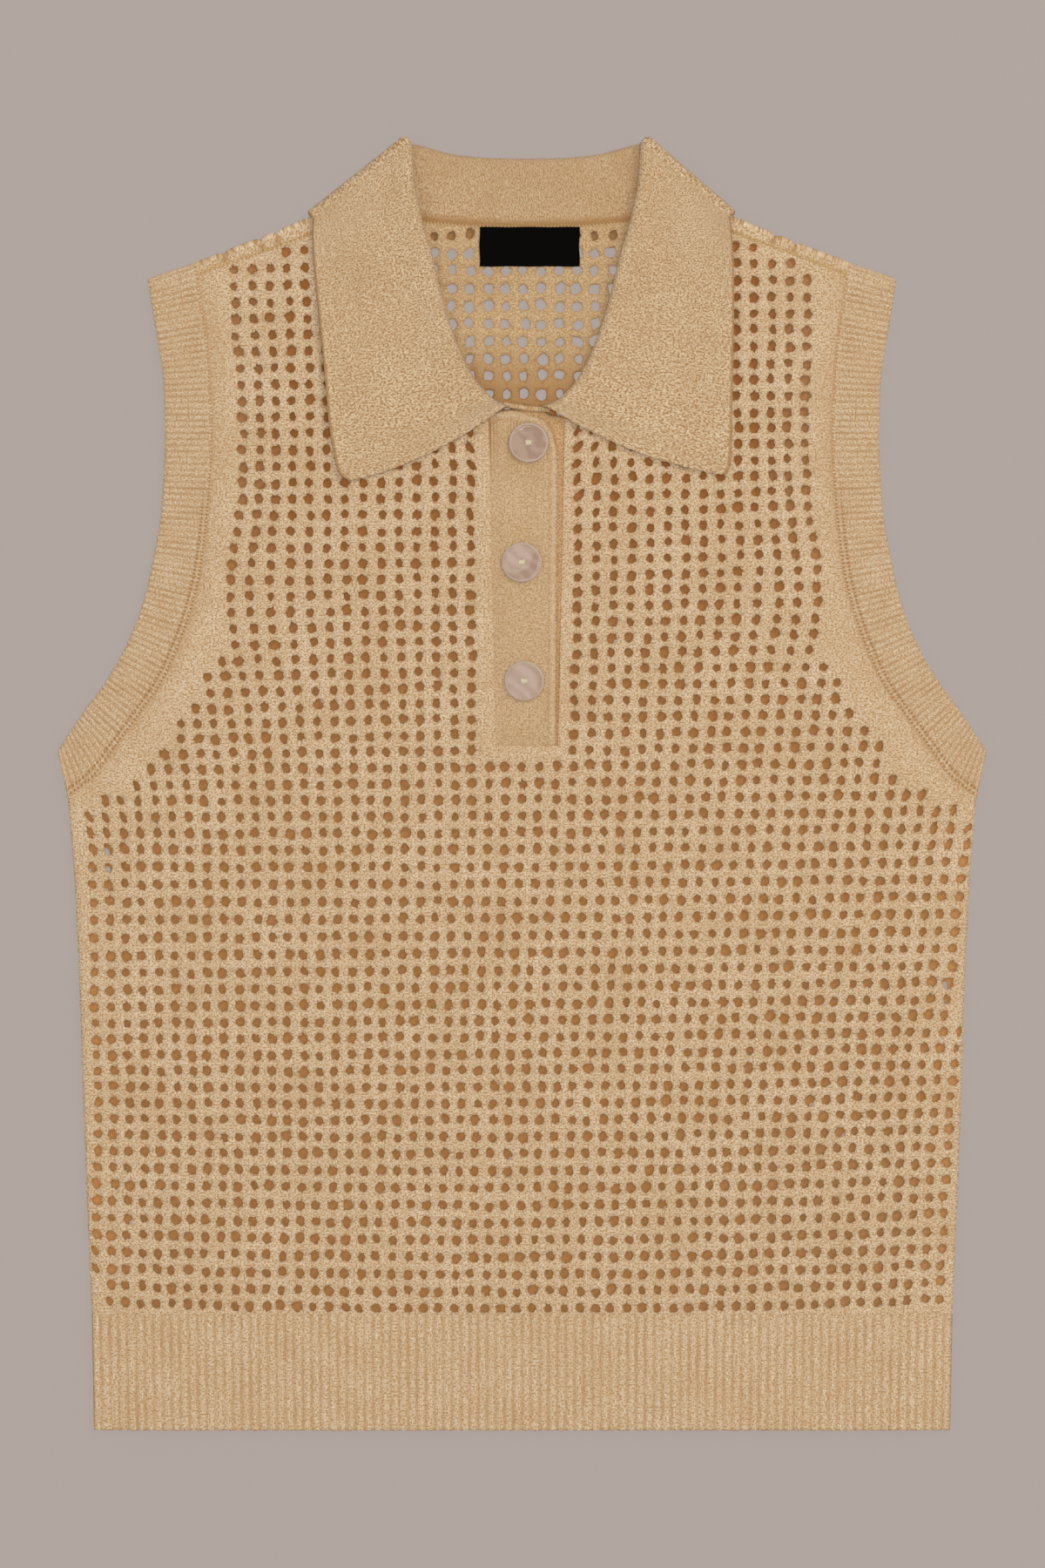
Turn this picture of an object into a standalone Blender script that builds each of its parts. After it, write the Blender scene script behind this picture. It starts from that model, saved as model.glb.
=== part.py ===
"""Sleeveless polo sweater in an openwork knit, buttoned and laid flat on its back.

The frame: +Z up from the surface that it lies on, +Y from hem to collar, +X to the right as seen
from above, which is the wearer's left. The origin is on that surface, under the middle.

Sizes are millimetres and become metres where a mesh is made. "height" is a distance above the hem
along the cloth, and "half" a distance out from the centre line. Every cloth piece is a wall of one
thickness. The back lies on the surface, the front lies on the back, and the collar's leaf is folded
over both, so that at the neck four walls lie on each other.
"""

import math

import bmesh
import bpy

MM = 0.001
MERGE = 0.00005
GARMENT = "sleeveless_polo_sweater"
GROUP = "wall"  # vertex group with each point's share of the wall's full thickness

WALL = 2.4  # thickness of the knit
GAP = 0.3  # between pieces at a seam, and between walls that press on each other
LAYER = WALL + GAP
ORIGIN_HEIGHT = 311.8  # the middle of the garment's length, from the hem

# The garment's outline, right half. The left half mirrors it.
HEM_HEIGHT = 56.0
SIDE = (  # height, half
    (0.0, 206.6),
    (56.0, 207.7),
    (131.0, 210.8),
    (232.0, 214.2),
    (270.0, 216.3),
    (305.5, 219.3),
)
ARMHOLE = (  # seam half, seam height, edge half, edge height
    (219.3, 305.5, 224.1, 327.6),
    (206.9, 315.0, 218.6, 336.0),
    (195.9, 329.7, 211.9, 346.1),
    (182.5, 347.8, 201.0, 360.8),
    (174.1, 359.9, 194.7, 371.3),
    (166.5, 375.9, 188.2, 384.7),
    (159.4, 395.6, 182.2, 401.9),
    (154.4, 417.5, 177.9, 420.8),
    (151.4, 443.9, 173.9, 445.2),
    (149.4, 479.6, 172.4, 479.6),
    (150.2, 503.0, 172.8, 502.0),
    (152.4, 529.0, 175.8, 525.0),
    (154.5, 543.0, 178.0, 538.0),
    (157.1, 561.1, 180.4, 553.4),
)
SHOULDER_KINK = (101.0, 582.8)  # half, height: from here the shoulder rises faster to the neck
SHOULDER_SEAM_OUT = 557.5  # height of the seam at the armhole, on the front

# The neck and the collar, from the neck's own centre line.
NECK_X = 1.9
FRONT_NECK = (  # seam, roll, left leaf edge and right leaf edge: half, height of each, and bow
    (12.6, 493.1, 8.4, 493.2, 85.3, 457.4, 95.8, 460.3, 5.0),
    (16.0, 494.3, 11.3, 494.2, 90.3, 461.6, 98.3, 464.5, 4.2),
    (20.2, 495.6, 15.6, 496.0, 93.2, 474.2, 99.1, 474.6, 3.0),
    (31.9, 501.9, 24.2, 504.2, 94.9, 484.7, 99.3, 486.4, 1.5),
    (49.6, 516.2, 31.0, 516.2, 96.2, 499.8, 99.5, 500.6, 0.0),
    (61.3, 530.9, 36.9, 530.9, 97.9, 518.3, 99.8, 517.4, 0.0),
    (69.7, 547.7, 41.9, 547.7, 100.0, 539.3, 100.2, 538.4, 0.0),
    (75.6, 565.3, 46.1, 565.3, 101.6, 556.1, 100.0, 558.6, 0.0),
    (80.2, 584.6, 51.6, 584.6, 102.6, 570.2, 99.4, 572.0, 0.0),
    (82.9, 591.5, 55.0, 602.3, 102.8, 578.0, 98.8, 579.6, 0.0),
)
SEAM_ROW = 8  # the row of FRONT_NECK where the shoulder seam meets the neck
FOLD_SEAM_HALF = 85.3
FOLD_ROLL = (56.0, 619.8)  # half, height of the roll where the collar turns to the back
FOLD_LEAF_HALF = {-1: 102.4, 1: 98.0}
FOLD_TURNS = (90.0, 60.0, 30.0, 0.0, -30.0, -60.0, -90.0)  # front, outwards, back
BACK_NECK = (  # seam, roll and leaf edge: half, height of each
    (80.6, 590.6, 52.6, 619.0, 97.0, 576.0),
    (68.9, 585.6, 46.0, 617.2, 82.3, 572.0),
    (49.1, 582.4, 34.4, 614.2, 60.5, 570.4),
    (24.8, 580.4, 17.6, 612.6, 31.9, 570.8),
    (0.0, 579.6, 0.0, 612.1, 0.0, 571.2),
)
ROLL_PUFF = 1.4  # the front leaf stands off the stand this much more at the roll
ROLL_REACH = 16.0
LEAF_SLACK = 0.2
ROLL_STEPS = (-60.0, -30.0, 0.0, 30.0, 60.0)
LEAF_STEPS = (0.1, 0.25, 0.45, 0.7, 0.96, 1.0)
SOFT_EDGE = 0.55  # share of the wall that is left at a loose edge
OVER_PLACKET = (30.0, 12.0)  # half and reach of the step by which the leaf clears the placket
PLACKET_STEP = 1.0

# Where the layers lie.
BACK_LEAF_TOP = 543.0  # below this height the back lies on the surface
BACK_LEAF_HALF = 128.0
RAMP = 25.0
LOFT = 1.3  # the front stands off the back this much more away from the edges
LOFT_REACH = 30.0

# The placket.
SLOT_LEFT = -15.75
SLOT_RIGHT = 20.7
SLOT_FOOT = 330.1
SLOT_HEAD = 491.4
PLACKET_RIGHT = 17.0
PLACKET_HEAD = (  # x, height along the upper placket's top edge, from left to right
    (SLOT_LEFT + GAP, 490.2),
    (-12.0, 490.6),
    (-6.5, 490.6),
    (2.7, 488.4),
    (9.4, 486.4),
    (14.3, 481.7),
    (16.2, 476.0),
    (PLACKET_RIGHT, 472.0),
)
PLACKET_ROWS = (SLOT_FOOT + GAP, SLOT_FOOT + GAP + 1.5, 400.0, 465.0)
PLACKET_BEVEL = 1.5
UNDER_WALL = 2.0
UNDER_TOP = LAYER + UNDER_WALL
UNDER_LEFT = -12.0
UNDER_HEAD = 489.4

BUTTONS = ((3.15, 475.9), (-0.2, 418.3), (1.05, 361.2))  # x, height
BUTTON_DIAMETER = 19.0
BUTTON_PROFILE = (  # radius as a share of the button's, height: down the outer side
    (0.0, 2.0),
    (0.70, 2.1),
    (0.82, 2.6),
    (0.93, 2.6),
    (1.0, 1.7),
    (0.97, 0.7),
    (0.84, 0.0),
    (0.0, 0.0),
)
BUTTON_STEPS = 28
BUTTON_HOLE = 1.9
BUTTON_HOLE_PITCH = 3.4
BUTTON_HOLE_STEPS = 10

LABEL_SIZE = (48.2, 19.0)
LABEL_MIDDLE = (3.6, 570.6)
LABEL_WALL = 0.8
LABEL_CELLS = 4

# The ribs: how far the outer points are raised, and how many there are.
RIB = 0.9
HEM_RIBS = 98
HEM_RIB_ROWS = ((0.0, 0.5), (2.0, 1.0), (HEM_HEIGHT - 2.0, 1.0), (HEM_HEIGHT, 0.3))  # height, raised
BACK_HEM_COLUMNS = 12
BAND_RIBS = 87
BAND_RIB_COLUMNS = ((0.0, 0.3), (0.12, 1.0), (0.9, 1.0), (1.0, 0.5))  # share across, raised
SEAM_CLEARANCE = 1.5 * GAP  # the bands' seams run askew to the panels'

YARN = (0.67, 0.47, 0.26)
YARN_INSIDE = (0.62, 0.42, 0.18)
SHELL = (0.60, 0.42, 0.38)
LABEL_BLACK = (0.02, 0.018, 0.018)


def ease(t):
    """0 below 0 and 1 above 1, with a smooth step between."""
    t = min(max(t, 0.0), 1.0)
    return t * t * (3.0 - 2.0 * t)


def mix(a, b, t):
    return tuple(p + (q - p) * t for p, q in zip(a, b))


def read(table, at, key=0):
    """The table's row at a value of its key column, on straight stretches between the rows."""
    rows = sorted(table, key=lambda row: row[key])
    at = min(max(at, rows[0][key]), rows[-1][key])
    for low, high in zip(rows, rows[1:]):
        if at <= high[key]:
            return mix(low, high, (at - low[key]) / max(high[key] - low[key], 1e-9))
    return rows[-1]


def body_half(height):
    """Half the panels' width: the side edge, and above it the armhole's seam."""
    if height <= SIDE[-1][0]:
        return read(SIDE, height)[1]
    return read(ARMHOLE, height, key=1)[0]


def fold_line(side, half_x):
    """Height of the shoulder's fold at a distance from the garment's centre line."""
    roll = (abs(NECK_X + side * FOLD_ROLL[0]), FOLD_ROLL[1])
    table = ((ARMHOLE[-1][0], ARMHOLE[-1][1]), SHOULDER_KINK, roll)
    return read(table, half_x)[1]


def lift(x, height):
    """How far the back is raised by the collar's leaf folded under it."""
    up = ease((height - BACK_LEAF_TOP) / RAMP)
    across = ease((BACK_LEAF_HALF - abs(x)) / RAMP)
    return LAYER * up * across


def back_inside(x, height):
    """Z of the back's inner face."""
    return WALL + lift(x, height)


def front_inside(x, height):
    """Z of the front's inner face."""
    side = -1 if x < 0 else 1
    in_from_side = ease((body_half(height) - abs(x)) / LOFT_REACH)
    in_from_top = ease((fold_line(side, abs(x)) - height) / LOFT_REACH)
    return back_inside(x, height) + GAP + LOFT * in_from_side * in_from_top


def material(name, colour, roughness):
    made = bpy.data.materials.new(name)
    made.use_nodes = True
    shader = made.node_tree.nodes["Principled BSDF"]
    shader.inputs["Base Color"].default_value = (*colour, 1.0)
    shader.inputs["Roughness"].default_value = roughness
    shader.inputs["Metallic"].default_value = 0.0
    return made


def place(point):
    """A point of the garment, as x, height and z, in the frame's metres."""
    x, height, z = point
    return x * MM, (height - ORIGIN_HEIGHT) * MM, z * MM


def piece(name, mesh, finish):
    made = bpy.data.objects.new(name, mesh)
    made.data.materials.append(finish)
    bpy.data.collections[GARMENT].objects.link(made)
    return made


def cloth(name, rows, finish, wall=WALL, share=None, keep=None):
    """A wall on an open sheet of points, on the side that its rows turn to when read left to right.

    rows hold the points of the plain face. share gives each point's share of the wall, which
    raises ribs and thins loose edges, and keep says which of the cells are there.
    """
    sheet = bmesh.new()
    points = [[sheet.verts.new(place(p)) if p else None for p in row] for row in rows]
    for i in range(len(rows) - 1):
        for j in range(len(rows[i]) - 1):
            corners = (points[i][j], points[i][j + 1], points[i + 1][j + 1], points[i + 1][j])
            if None not in corners and (keep is None or keep(i, j)):
                sheet.faces.new(corners)
    sheet.verts.index_update()
    shares = {}
    for i, row in enumerate(points):
        for j, point in enumerate(row):
            if point and share:
                shares[point.index] = share(i, j)
    mesh = bpy.data.meshes.new(name)
    sheet.to_mesh(mesh)
    sheet.free()
    made = piece(name, mesh, finish)
    solid = made.modifiers.new("Wall", "SOLIDIFY")
    solid.thickness = wall * MM
    solid.offset = 1.0
    if share:
        group = made.vertex_groups.new(name=GROUP)
        for index, value in shares.items():
            group.add([index], value, "REPLACE")
        solid.vertex_group = GROUP
    return made


def rib_share(column, raised=1.0):
    """The wall's share on a ribbed piece: odd columns are ridges and even ones furrows."""
    return (WALL + RIB * raised * (column % 2)) / (WALL + RIB)


# Collar stations. Each has the seam, the roll and the leaf's edge in plan, how far the section has
# turned about the shoulder's fold, and the bow of the leaf's front edge.


def front_station(side, row):
    seam_x, seam_y, roll_x, roll_y, left_x, left_y, right_x, right_y, bow = row
    leaf = (left_x, left_y) if side < 0 else (right_x, right_y)
    return {
        "seam": (NECK_X + side * seam_x, seam_y),
        "roll": (NECK_X + side * roll_x, roll_y),
        "leaf": (NECK_X + side * leaf[0], leaf[1]),
        "turn": 90.0,
        "bow": bow,
        "side": side,
    }


def fold_station(side, turn):
    leaf_x = NECK_X + side * FOLD_LEAF_HALF[side]
    leaf = (leaf_x, fold_line(side, abs(leaf_x)))
    roll = (NECK_X + side * FOLD_ROLL[0], FOLD_ROLL[1])
    seam_x = NECK_X + side * FOLD_SEAM_HALF
    return {
        "seam": mix(leaf, roll, (seam_x - leaf[0]) / (roll[0] - leaf[0])),
        "roll": roll,
        "leaf": leaf,
        "turn": turn,
        "bow": 0.0,
        "side": side,
    }


def back_station(side, row):
    seam_x, seam_y, roll_x, roll_y, leaf_x, leaf_y = row
    return {
        "seam": (NECK_X + side * seam_x, seam_y),
        "roll": (NECK_X + side * roll_x, roll_y),
        "leaf": (NECK_X + side * leaf_x, leaf_y),
        "turn": -90.0,
        "bow": 0.0,
        "side": side,
    }


def half_collar(side):
    """The stations of one half, from the placket round to the middle of the back."""
    stations = [front_station(side, row) for row in FRONT_NECK]
    stations += [fold_station(side, turn) for turn in FOLD_TURNS]
    stations += [back_station(side, row) for row in BACK_NECK]
    return stations


def collar_section(station, face):
    """Points across the collar, up the stand, round the roll and down the leaf, on one face.

    face is 1 on the side that shows and -1 on the side where stand and leaf meet.
    """
    seam, roll, leaf = station["seam"], station["roll"], station["leaf"]
    turn = math.radians(station["turn"])
    half_wall = face * WALL / 2
    in_front = max(math.sin(turn), 0.0)
    along = math.dist(roll, leaf)
    down = ((leaf[0] - roll[0]) / along, (leaf[1] - roll[1]) / along)
    stand = math.dist(roll, seam)
    up = ((roll[0] - seam[0]) / stand, (roll[1] - seam[1]) / stand)
    ahead = (up[0] - down[0], up[1] - down[1])
    ahead = (ahead[0] / math.hypot(*ahead), ahead[1] / math.hypot(*ahead))
    out = (-down[1] * station["side"], down[0] * station["side"])
    out = out if out[1] > 0 else (-out[0], -out[1])

    def at(plan, off):
        """A point off the fold's middle, with off measured from the stand's middle."""
        x, height = plan
        low = back_inside(x, height) - WALL / 2
        high = front_inside(x, height) + WALL / 2
        reach = (high - low) / 2 + off
        outwards = reach * math.cos(turn)
        z = (low + high) / 2 + reach * math.sin(turn)
        return x + outwards * out[0], height + outwards * out[1], z

    def spacing(distance):
        puff = ROLL_PUFF * in_front * (1.0 - ease(distance / ROLL_REACH))
        return LAYER + LEAF_SLACK * in_front + puff

    def over_placket(x):
        half, fade = OVER_PLACKET
        return PLACKET_STEP * in_front * ease((half - abs(x)) / fade)

    radius = spacing(0.0) / 2
    middle = (roll[0] - ahead[0] * radius, roll[1] - ahead[1] * radius)
    seam_end = (seam[0] + up[0] * GAP, seam[1] + up[1] * GAP)
    points = [at(seam_end, -half_wall)]
    points.append(at(mix(seam_end, middle, 0.5), -half_wall))
    points.append(at(middle, -half_wall))
    for step in ROLL_STEPS:
        bend = math.radians(step)
        forward = (radius + half_wall) * math.cos(bend)
        plan = (middle[0] + ahead[0] * forward, middle[1] + ahead[1] * forward)
        rise = over_placket(middle[0]) * (step + 90.0) / 180.0
        points.append(at(plan, radius + rise + (radius + half_wall) * math.sin(bend)))
    for step in (0.0, *LEAF_STEPS):
        plan = mix(middle, leaf, step)
        bow = -station["bow"] * 4.0 * step * (1.0 - step)
        plan = (plan[0], plan[1] + bow)
        edge = SOFT_EDGE if step == 1.0 else 1.0
        off = spacing(step * along) + over_placket(plan[0]) + half_wall * edge
        points.append(at(plan, off))
    return points


def loft_wall(name, faces, finish):
    """A closed wall between two matching grids of points."""
    wall = bmesh.new()
    grids = [[[wall.verts.new(place(p)) for p in row] for row in face] for face in faces]
    rows, columns = len(grids[0]), len(grids[0][0])
    for grid, forward in zip(grids, (True, False)):
        for i in range(rows - 1):
            for j in range(columns - 1):
                corners = (grid[i][j], grid[i][j + 1], grid[i + 1][j + 1], grid[i + 1][j])
                wall.faces.new(corners if forward else corners[::-1])
    rim = [(0, j) for j in range(columns - 1)]
    rim += [(i, columns - 1) for i in range(rows - 1)]
    rim += [(rows - 1, j) for j in range(columns - 1, 0, -1)]
    rim += [(i, 0) for i in range(rows - 1, 0, -1)]
    for (a, b), (c, d) in zip(rim, rim[1:] + rim[:1]):
        wall.faces.new((grids[0][c][d], grids[0][a][b], grids[1][a][b], grids[1][c][d]))
    bmesh.ops.recalc_face_normals(wall, faces=wall.faces)
    mesh = bpy.data.meshes.new(name)
    wall.to_mesh(mesh)
    wall.free()
    return piece(name, mesh, finish)


def make_collar(finish):
    left = half_collar(-1)
    right = half_collar(1)
    stations = left + right[-2::-1]
    faces = [[collar_section(station, face) for station in stations] for face in (1, -1)]
    return loft_wall("collar", faces, finish)


# The panels.

PANEL_SIDE_ROWS = (HEM_HEIGHT + GAP, 110.0, 170.0, 232.0, 270.0, 290.0)
NECK_ROWS_OUT = (484.0, 490.0, 503.0, 516.0, 529.0, 543.0, SHOULDER_SEAM_OUT)
SLOT_FOOT_ARMHOLE_ROW = 2  # the armhole's rows level with the placket's foot and head
SLOT_HEAD_ARMHOLE_ROW = 9
SLOT_FOOT_ROW = len(PANEL_SIDE_ROWS) + SLOT_FOOT_ARMHOLE_ROW
FRONT_COLUMNS = (0.0, 0.04, 0.1, 0.17, 0.4, 0.7, 1.0)  # from the side to the placket
SHOULDER_COLUMNS = 5
KINK_SHARE = 0.8  # share of the shoulder's columns that are outside the kink


def outer_rows():
    """The panels' outer points from hem to shoulder seam: half and height."""
    rows = [(body_half(height), height) for height in PANEL_SIDE_ROWS]
    rows += [row[:2] for row in ARMHOLE if row[1] < NECK_ROWS_OUT[0]]
    rows += [(body_half(height), height) for height in NECK_ROWS_OUT]
    return rows


def front_inner_rows(side):
    """The front's inner points on one side of the placket and the neck: x and height."""
    slot = SLOT_LEFT if side < 0 else SLOT_RIGHT
    foot = ARMHOLE[SLOT_FOOT_ARMHOLE_ROW][1]
    scale = (SLOT_HEAD - SLOT_FOOT) / (ARMHOLE[SLOT_HEAD_ARMHOLE_ROW][1] - foot)
    rows = []
    for _, height in outer_rows()[: -len(NECK_ROWS_OUT)]:
        above = max(height - foot, 0.0) * scale
        rows.append((slot, min(height, SLOT_FOOT) + above))
    rows[SLOT_FOOT_ROW] = (slot, SLOT_FOOT)
    neck = FRONT_NECK[SEAM_ROW + 1 - len(NECK_ROWS_OUT) : SEAM_ROW + 1]
    rows += [(NECK_X + side * row[0], row[1]) for row in neck]
    return rows


def make_front(finish):
    outer = outer_rows()
    left, right = front_inner_rows(-1), front_inner_rows(1)
    rows = []
    for (half, height), left_end, right_end in zip(outer, left, right):
        plan = [mix((-half, height), left_end, t) for t in FRONT_COLUMNS]
        plan += [mix(right_end, (half, height), 1.0 - t) for t in reversed(FRONT_COLUMNS)]
        rows.append([(x, y, front_inside(x, y)) for x, y in plan])
    slot = len(FRONT_COLUMNS) - 1
    return cloth("front_panel", rows, finish, keep=lambda i, j: j != slot or i < SLOT_FOOT_ROW)


def back_columns(side):
    """The top of each column of one half of the back, and where its forward strip ends.

    From the armhole along the shoulder's fold to the neck, then along the neck to the middle.
    """
    corner = fold_station(side, 90.0)["seam"]
    kink = (side * SHOULDER_KINK[0], SHOULDER_KINK[1])
    start = (side * ARMHOLE[-1][0], ARMHOLE[-1][1])
    seam_start = (side * body_half(SHOULDER_SEAM_OUT), SHOULDER_SEAM_OUT + GAP)
    seam_end = front_inner_rows(side)[-1]
    columns = []
    for k in range(SHOULDER_COLUMNS + 1):
        t = k / SHOULDER_COLUMNS
        top = mix(start, kink, t / KINK_SHARE)
        if t > KINK_SHARE:
            top = mix(kink, corner, (t - KINK_SHARE) / (1.0 - KINK_SHARE))
        end = mix(seam_start, (seam_end[0], seam_end[1] + GAP), t)
        middle = mix(top, end, 0.5)
        if k == SHOULDER_COLUMNS:
            row = FRONT_NECK[SEAM_ROW + 1]
            middle = (NECK_X + side * row[0], row[1])
        columns.append({"top": top, "strip": (middle, end)})
    for row in BACK_NECK:
        columns.append({"top": (NECK_X + side * row[0], row[1]), "strip": None})
    return columns


def make_back(finish):
    """The back, with the strip that it sends forward over the shoulder to the seam."""
    columns = back_columns(-1) + back_columns(1)[-2::-1]
    low = HEM_HEIGHT + GAP
    high = ARMHOLE[-1][1]
    heights = [height for _, height in outer_rows()] + [high]
    rows = []
    for level in heights:
        share = (level - low) / (high - low)
        row = []
        for column in columns:
            top_x, top_y = column["top"]
            y = low + share * (top_y - low)
            wide = body_half(y) if abs(top_x) < ARMHOLE[-1][0] else body_half(level)
            x = top_x / body_half(top_y) * wide
            row.append((x, y, back_inside(x, y)))
        rows.append(row)
    for turn in FOLD_TURNS[-2::-1]:
        rows.append([c["strip"] and around_fold(c["top"], turn) for c in columns])
    for k in range(2):
        rows.append([c["strip"] and on_front(c["strip"][k]) for c in columns])
    return cloth("back_panel", [row[::-1] for row in rows], finish)


def on_front(plan):
    return *plan, front_inside(*plan)


def around_fold(plan, turn):
    """A point of the inner face where a wall goes over the shoulder, turned from back to front."""
    x, height = plan
    low, high = back_inside(x, height), front_inside(x, height)
    reach = (high - low) / 2
    angle = math.radians(turn)
    return x, height + reach * math.cos(angle), (low + high) / 2 + reach * math.sin(angle)


def hem_rows(inside, heights, columns):
    rows = []
    for height in heights:
        half = body_half(height)
        plan = [half * (2.0 * k / columns - 1.0) for k in range(columns + 1)]
        rows.append([(x, height, inside(x, height)) for x in plan])
    return rows


def make_back_hem(finish):
    """The back's hem, plain because it rests on the surface."""
    rows = hem_rows(back_inside, (0.0, HEM_HEIGHT), BACK_HEM_COLUMNS)
    return cloth("back_hem", [row[::-1] for row in rows], finish)


def make_front_hem(finish):
    """The front's hem, whose ribs run up it and die away at its ends."""
    heights = [height for height, _ in HEM_RIB_ROWS]
    raised = [share for _, share in HEM_RIB_ROWS]
    rows = hem_rows(front_inside, heights, 2 * HEM_RIBS)

    def share(i, j):
        return rib_share(j, raised[i])

    return cloth("front_hem", rows, finish, WALL + RIB, share)


def make_band(name, side, finish):
    """An armhole band, from the underarm up the front, over the shoulder and down the back."""
    steps = 2 * BAND_RIBS
    across = BAND_RIB_COLUMNS[::side]
    rows, shares = [], []
    for k in range(steps + 1):
        at = along_armhole(k / steps)
        rows.append([on_front(band_plan(side, at, t)) for t, _ in across])
        shares.append([rib_share(k, raised) for _, raised in across])
    for turn in FOLD_TURNS[1:]:
        rows.append([around_fold(band_plan(side, ARMHOLE[-1], t), turn) for t, _ in across])
    for at in ARMHOLE[-2::-1]:
        plans = [band_plan(side, at, t) for t, _ in across]
        rows.append([(*plan, back_inside(*plan)) for plan in plans])
    plain = [rib_share(0)] * len(across)
    shares += [plain] * (len(rows) - len(shares))
    return cloth(name, rows, finish, WALL + RIB, lambda i, j: shares[i][j])


def along_armhole(t):
    """The armhole's row at a share of its length, measured midway across the band."""
    middles = [((a + c) / 2, (b + d) / 2) for a, b, c, d in ARMHOLE]
    lengths = [math.dist(p, q) for p, q in zip(middles, middles[1:])]
    left = t * sum(lengths)
    for row, following, length in zip(ARMHOLE, ARMHOLE[1:], lengths):
        if left <= length:
            return mix(row, following, left / length)
        left -= length
    return ARMHOLE[-1]


def band_plan(side, row, t):
    """A place across the band, 0 at the seam and 1 at the armhole's edge."""
    seam, edge = row[:2], row[2:]
    seam = mix(seam, edge, SEAM_CLEARANCE / math.dist(seam, edge))
    half, height = mix(seam, edge, t)
    return side * half, height


def make_placket(finish):
    """The upper placket, whose top right corner is rounded off."""
    z = UNDER_TOP + GAP
    rows = [[(x, height, z) for x, _ in PLACKET_HEAD] for height in PLACKET_ROWS]
    rows.append([(x, top - PLACKET_BEVEL, z) for x, top in PLACKET_HEAD])
    rows.append([(x, top, z) for x, top in PLACKET_HEAD])
    last = (len(rows) - 1, len(PLACKET_HEAD) - 1)

    def share(i, j):
        return SOFT_EDGE if i in (0, last[0]) or j in (0, last[1]) else 1.0

    return cloth("placket_upper", rows, finish, share=share)


def make_under_placket(finish):
    """The placket that carries the buttons, seen only along the upper one's loose edge."""
    sides = (UNDER_LEFT, SLOT_RIGHT - GAP)
    ends = (SLOT_FOOT + GAP, UNDER_HEAD)
    rows = [[(x, height, LAYER) for x in sides] for height in ends]
    return cloth("placket_under", rows, finish, wall=UNDER_WALL)


def make_label(finish):
    """A blank woven label, sewn to the back's inner face under the collar's seam."""
    wide, tall = LABEL_SIZE
    rows = []
    for j in range(LABEL_CELLS + 1):
        height = LABEL_MIDDLE[1] + tall * (j / LABEL_CELLS - 0.5)
        plan = [LABEL_MIDDLE[0] + wide * (k / LABEL_CELLS - 0.5) for k in range(LABEL_CELLS + 1)]
        rows.append([(x, height, back_inside(x, height) + GAP) for x in plan])
    return cloth("neck_label", rows, finish, wall=LABEL_WALL)


def make_button(name, x, height, finish):
    """A turned shell button with four holes."""
    radius = BUTTON_DIAMETER / 2
    mesh = bpy.data.meshes.new(name)
    points = [(share * radius * MM, 0.0, z * MM) for share, z in BUTTON_PROFILE]
    mesh.from_pydata(points, [(k, k + 1) for k in range(len(points) - 1)], [])
    button = piece(name, mesh, finish)
    button.location = place((x, height, UNDER_TOP + GAP + WALL + GAP))
    turned = button.modifiers.new("Turned", "SCREW")
    turned.steps = BUTTON_STEPS
    turned.render_steps = BUTTON_STEPS
    turned.use_merge_vertices = True
    turned.merge_threshold = MERGE
    turned.use_smooth_shade = True
    holes = button.modifiers.new("Holes", "BOOLEAN")
    holes.operation = "DIFFERENCE"
    holes.object = make_hole_cutter(name, button)
    return button


def make_hole_cutter(name, button):
    """Four round pins on a square, where the button's holes go."""
    pins = bmesh.new()
    for quarter in range(4):
        angle = math.radians(45.0 + 90.0 * quarter)
        reach = BUTTON_HOLE_PITCH / math.sqrt(2.0)
        made = bmesh.ops.create_cone(
            pins,
            cap_ends=True,
            segments=BUTTON_HOLE_STEPS,
            radius1=BUTTON_HOLE / 2 * MM,
            radius2=BUTTON_HOLE / 2 * MM,
            depth=BUTTON_DIAMETER * MM,
        )
        offset = (reach * math.cos(angle) * MM, reach * math.sin(angle) * MM, 0.0)
        bmesh.ops.translate(pins, verts=made["verts"], vec=offset)
    mesh = bpy.data.meshes.new(f"{name}_holes")
    pins.to_mesh(mesh)
    pins.free()
    cutter = bpy.data.objects.new(f"{name}_holes", mesh)
    bpy.data.collections["cutters"].objects.link(cutter)
    cutter.parent = button
    cutter.hide_render = True
    cutter.display_type = "WIRE"
    return cutter


def main():
    for leftover in list(bpy.data.objects):
        bpy.data.objects.remove(leftover)
    for name in (GARMENT, "cutters"):
        bpy.context.scene.collection.children.link(bpy.data.collections.new(name))

    make_back(material("knit_back", YARN_INSIDE, 0.9))
    make_front(material("knit_front", YARN, 0.9))
    make_back_hem(material("rib_back", YARN, 0.9))
    make_front_hem(material("rib_front", YARN, 0.9))
    make_band("armhole_band_left", -1, material("rib_band_left", YARN, 0.9))
    make_band("armhole_band_right", 1, material("rib_band_right", YARN, 0.9))
    make_collar(material("knit_collar", YARN, 0.9))
    make_under_placket(material("knit_under_placket", YARN_INSIDE, 0.9))
    make_placket(material("knit_placket", YARN, 0.9))
    make_label(material("label_weave", LABEL_BLACK, 0.7))
    for k, (x, height) in enumerate(BUTTONS, 1):
        make_button(f"button_{k}", x, height, material(f"shell_{k}", SHELL, 0.3))


main()
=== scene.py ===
"""Looks of a sleeveless polo sweater in an openwork knit, buttoned and laid flat on its back.

Sizes are millimetres and become metres where a mesh is made. "height" is a distance above the hem
along the cloth, "half" a distance out from the centre line, and a plan is a pair of x and height.
Each cloth piece is a closed wall. It carries the UV map "knit", in millimetres along the courses
and up the wales of its knit, and an attribute of painted shading, which is 1 at the bottom of a
furrow or inside a hole, and below 0 where the yarn stands proud. The yarn is painted golden to
brown shade where it is above 0, and painted a little paler, a painted highlight, where it is below 0.
"""

import math
import random
from functools import cached_property

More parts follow.
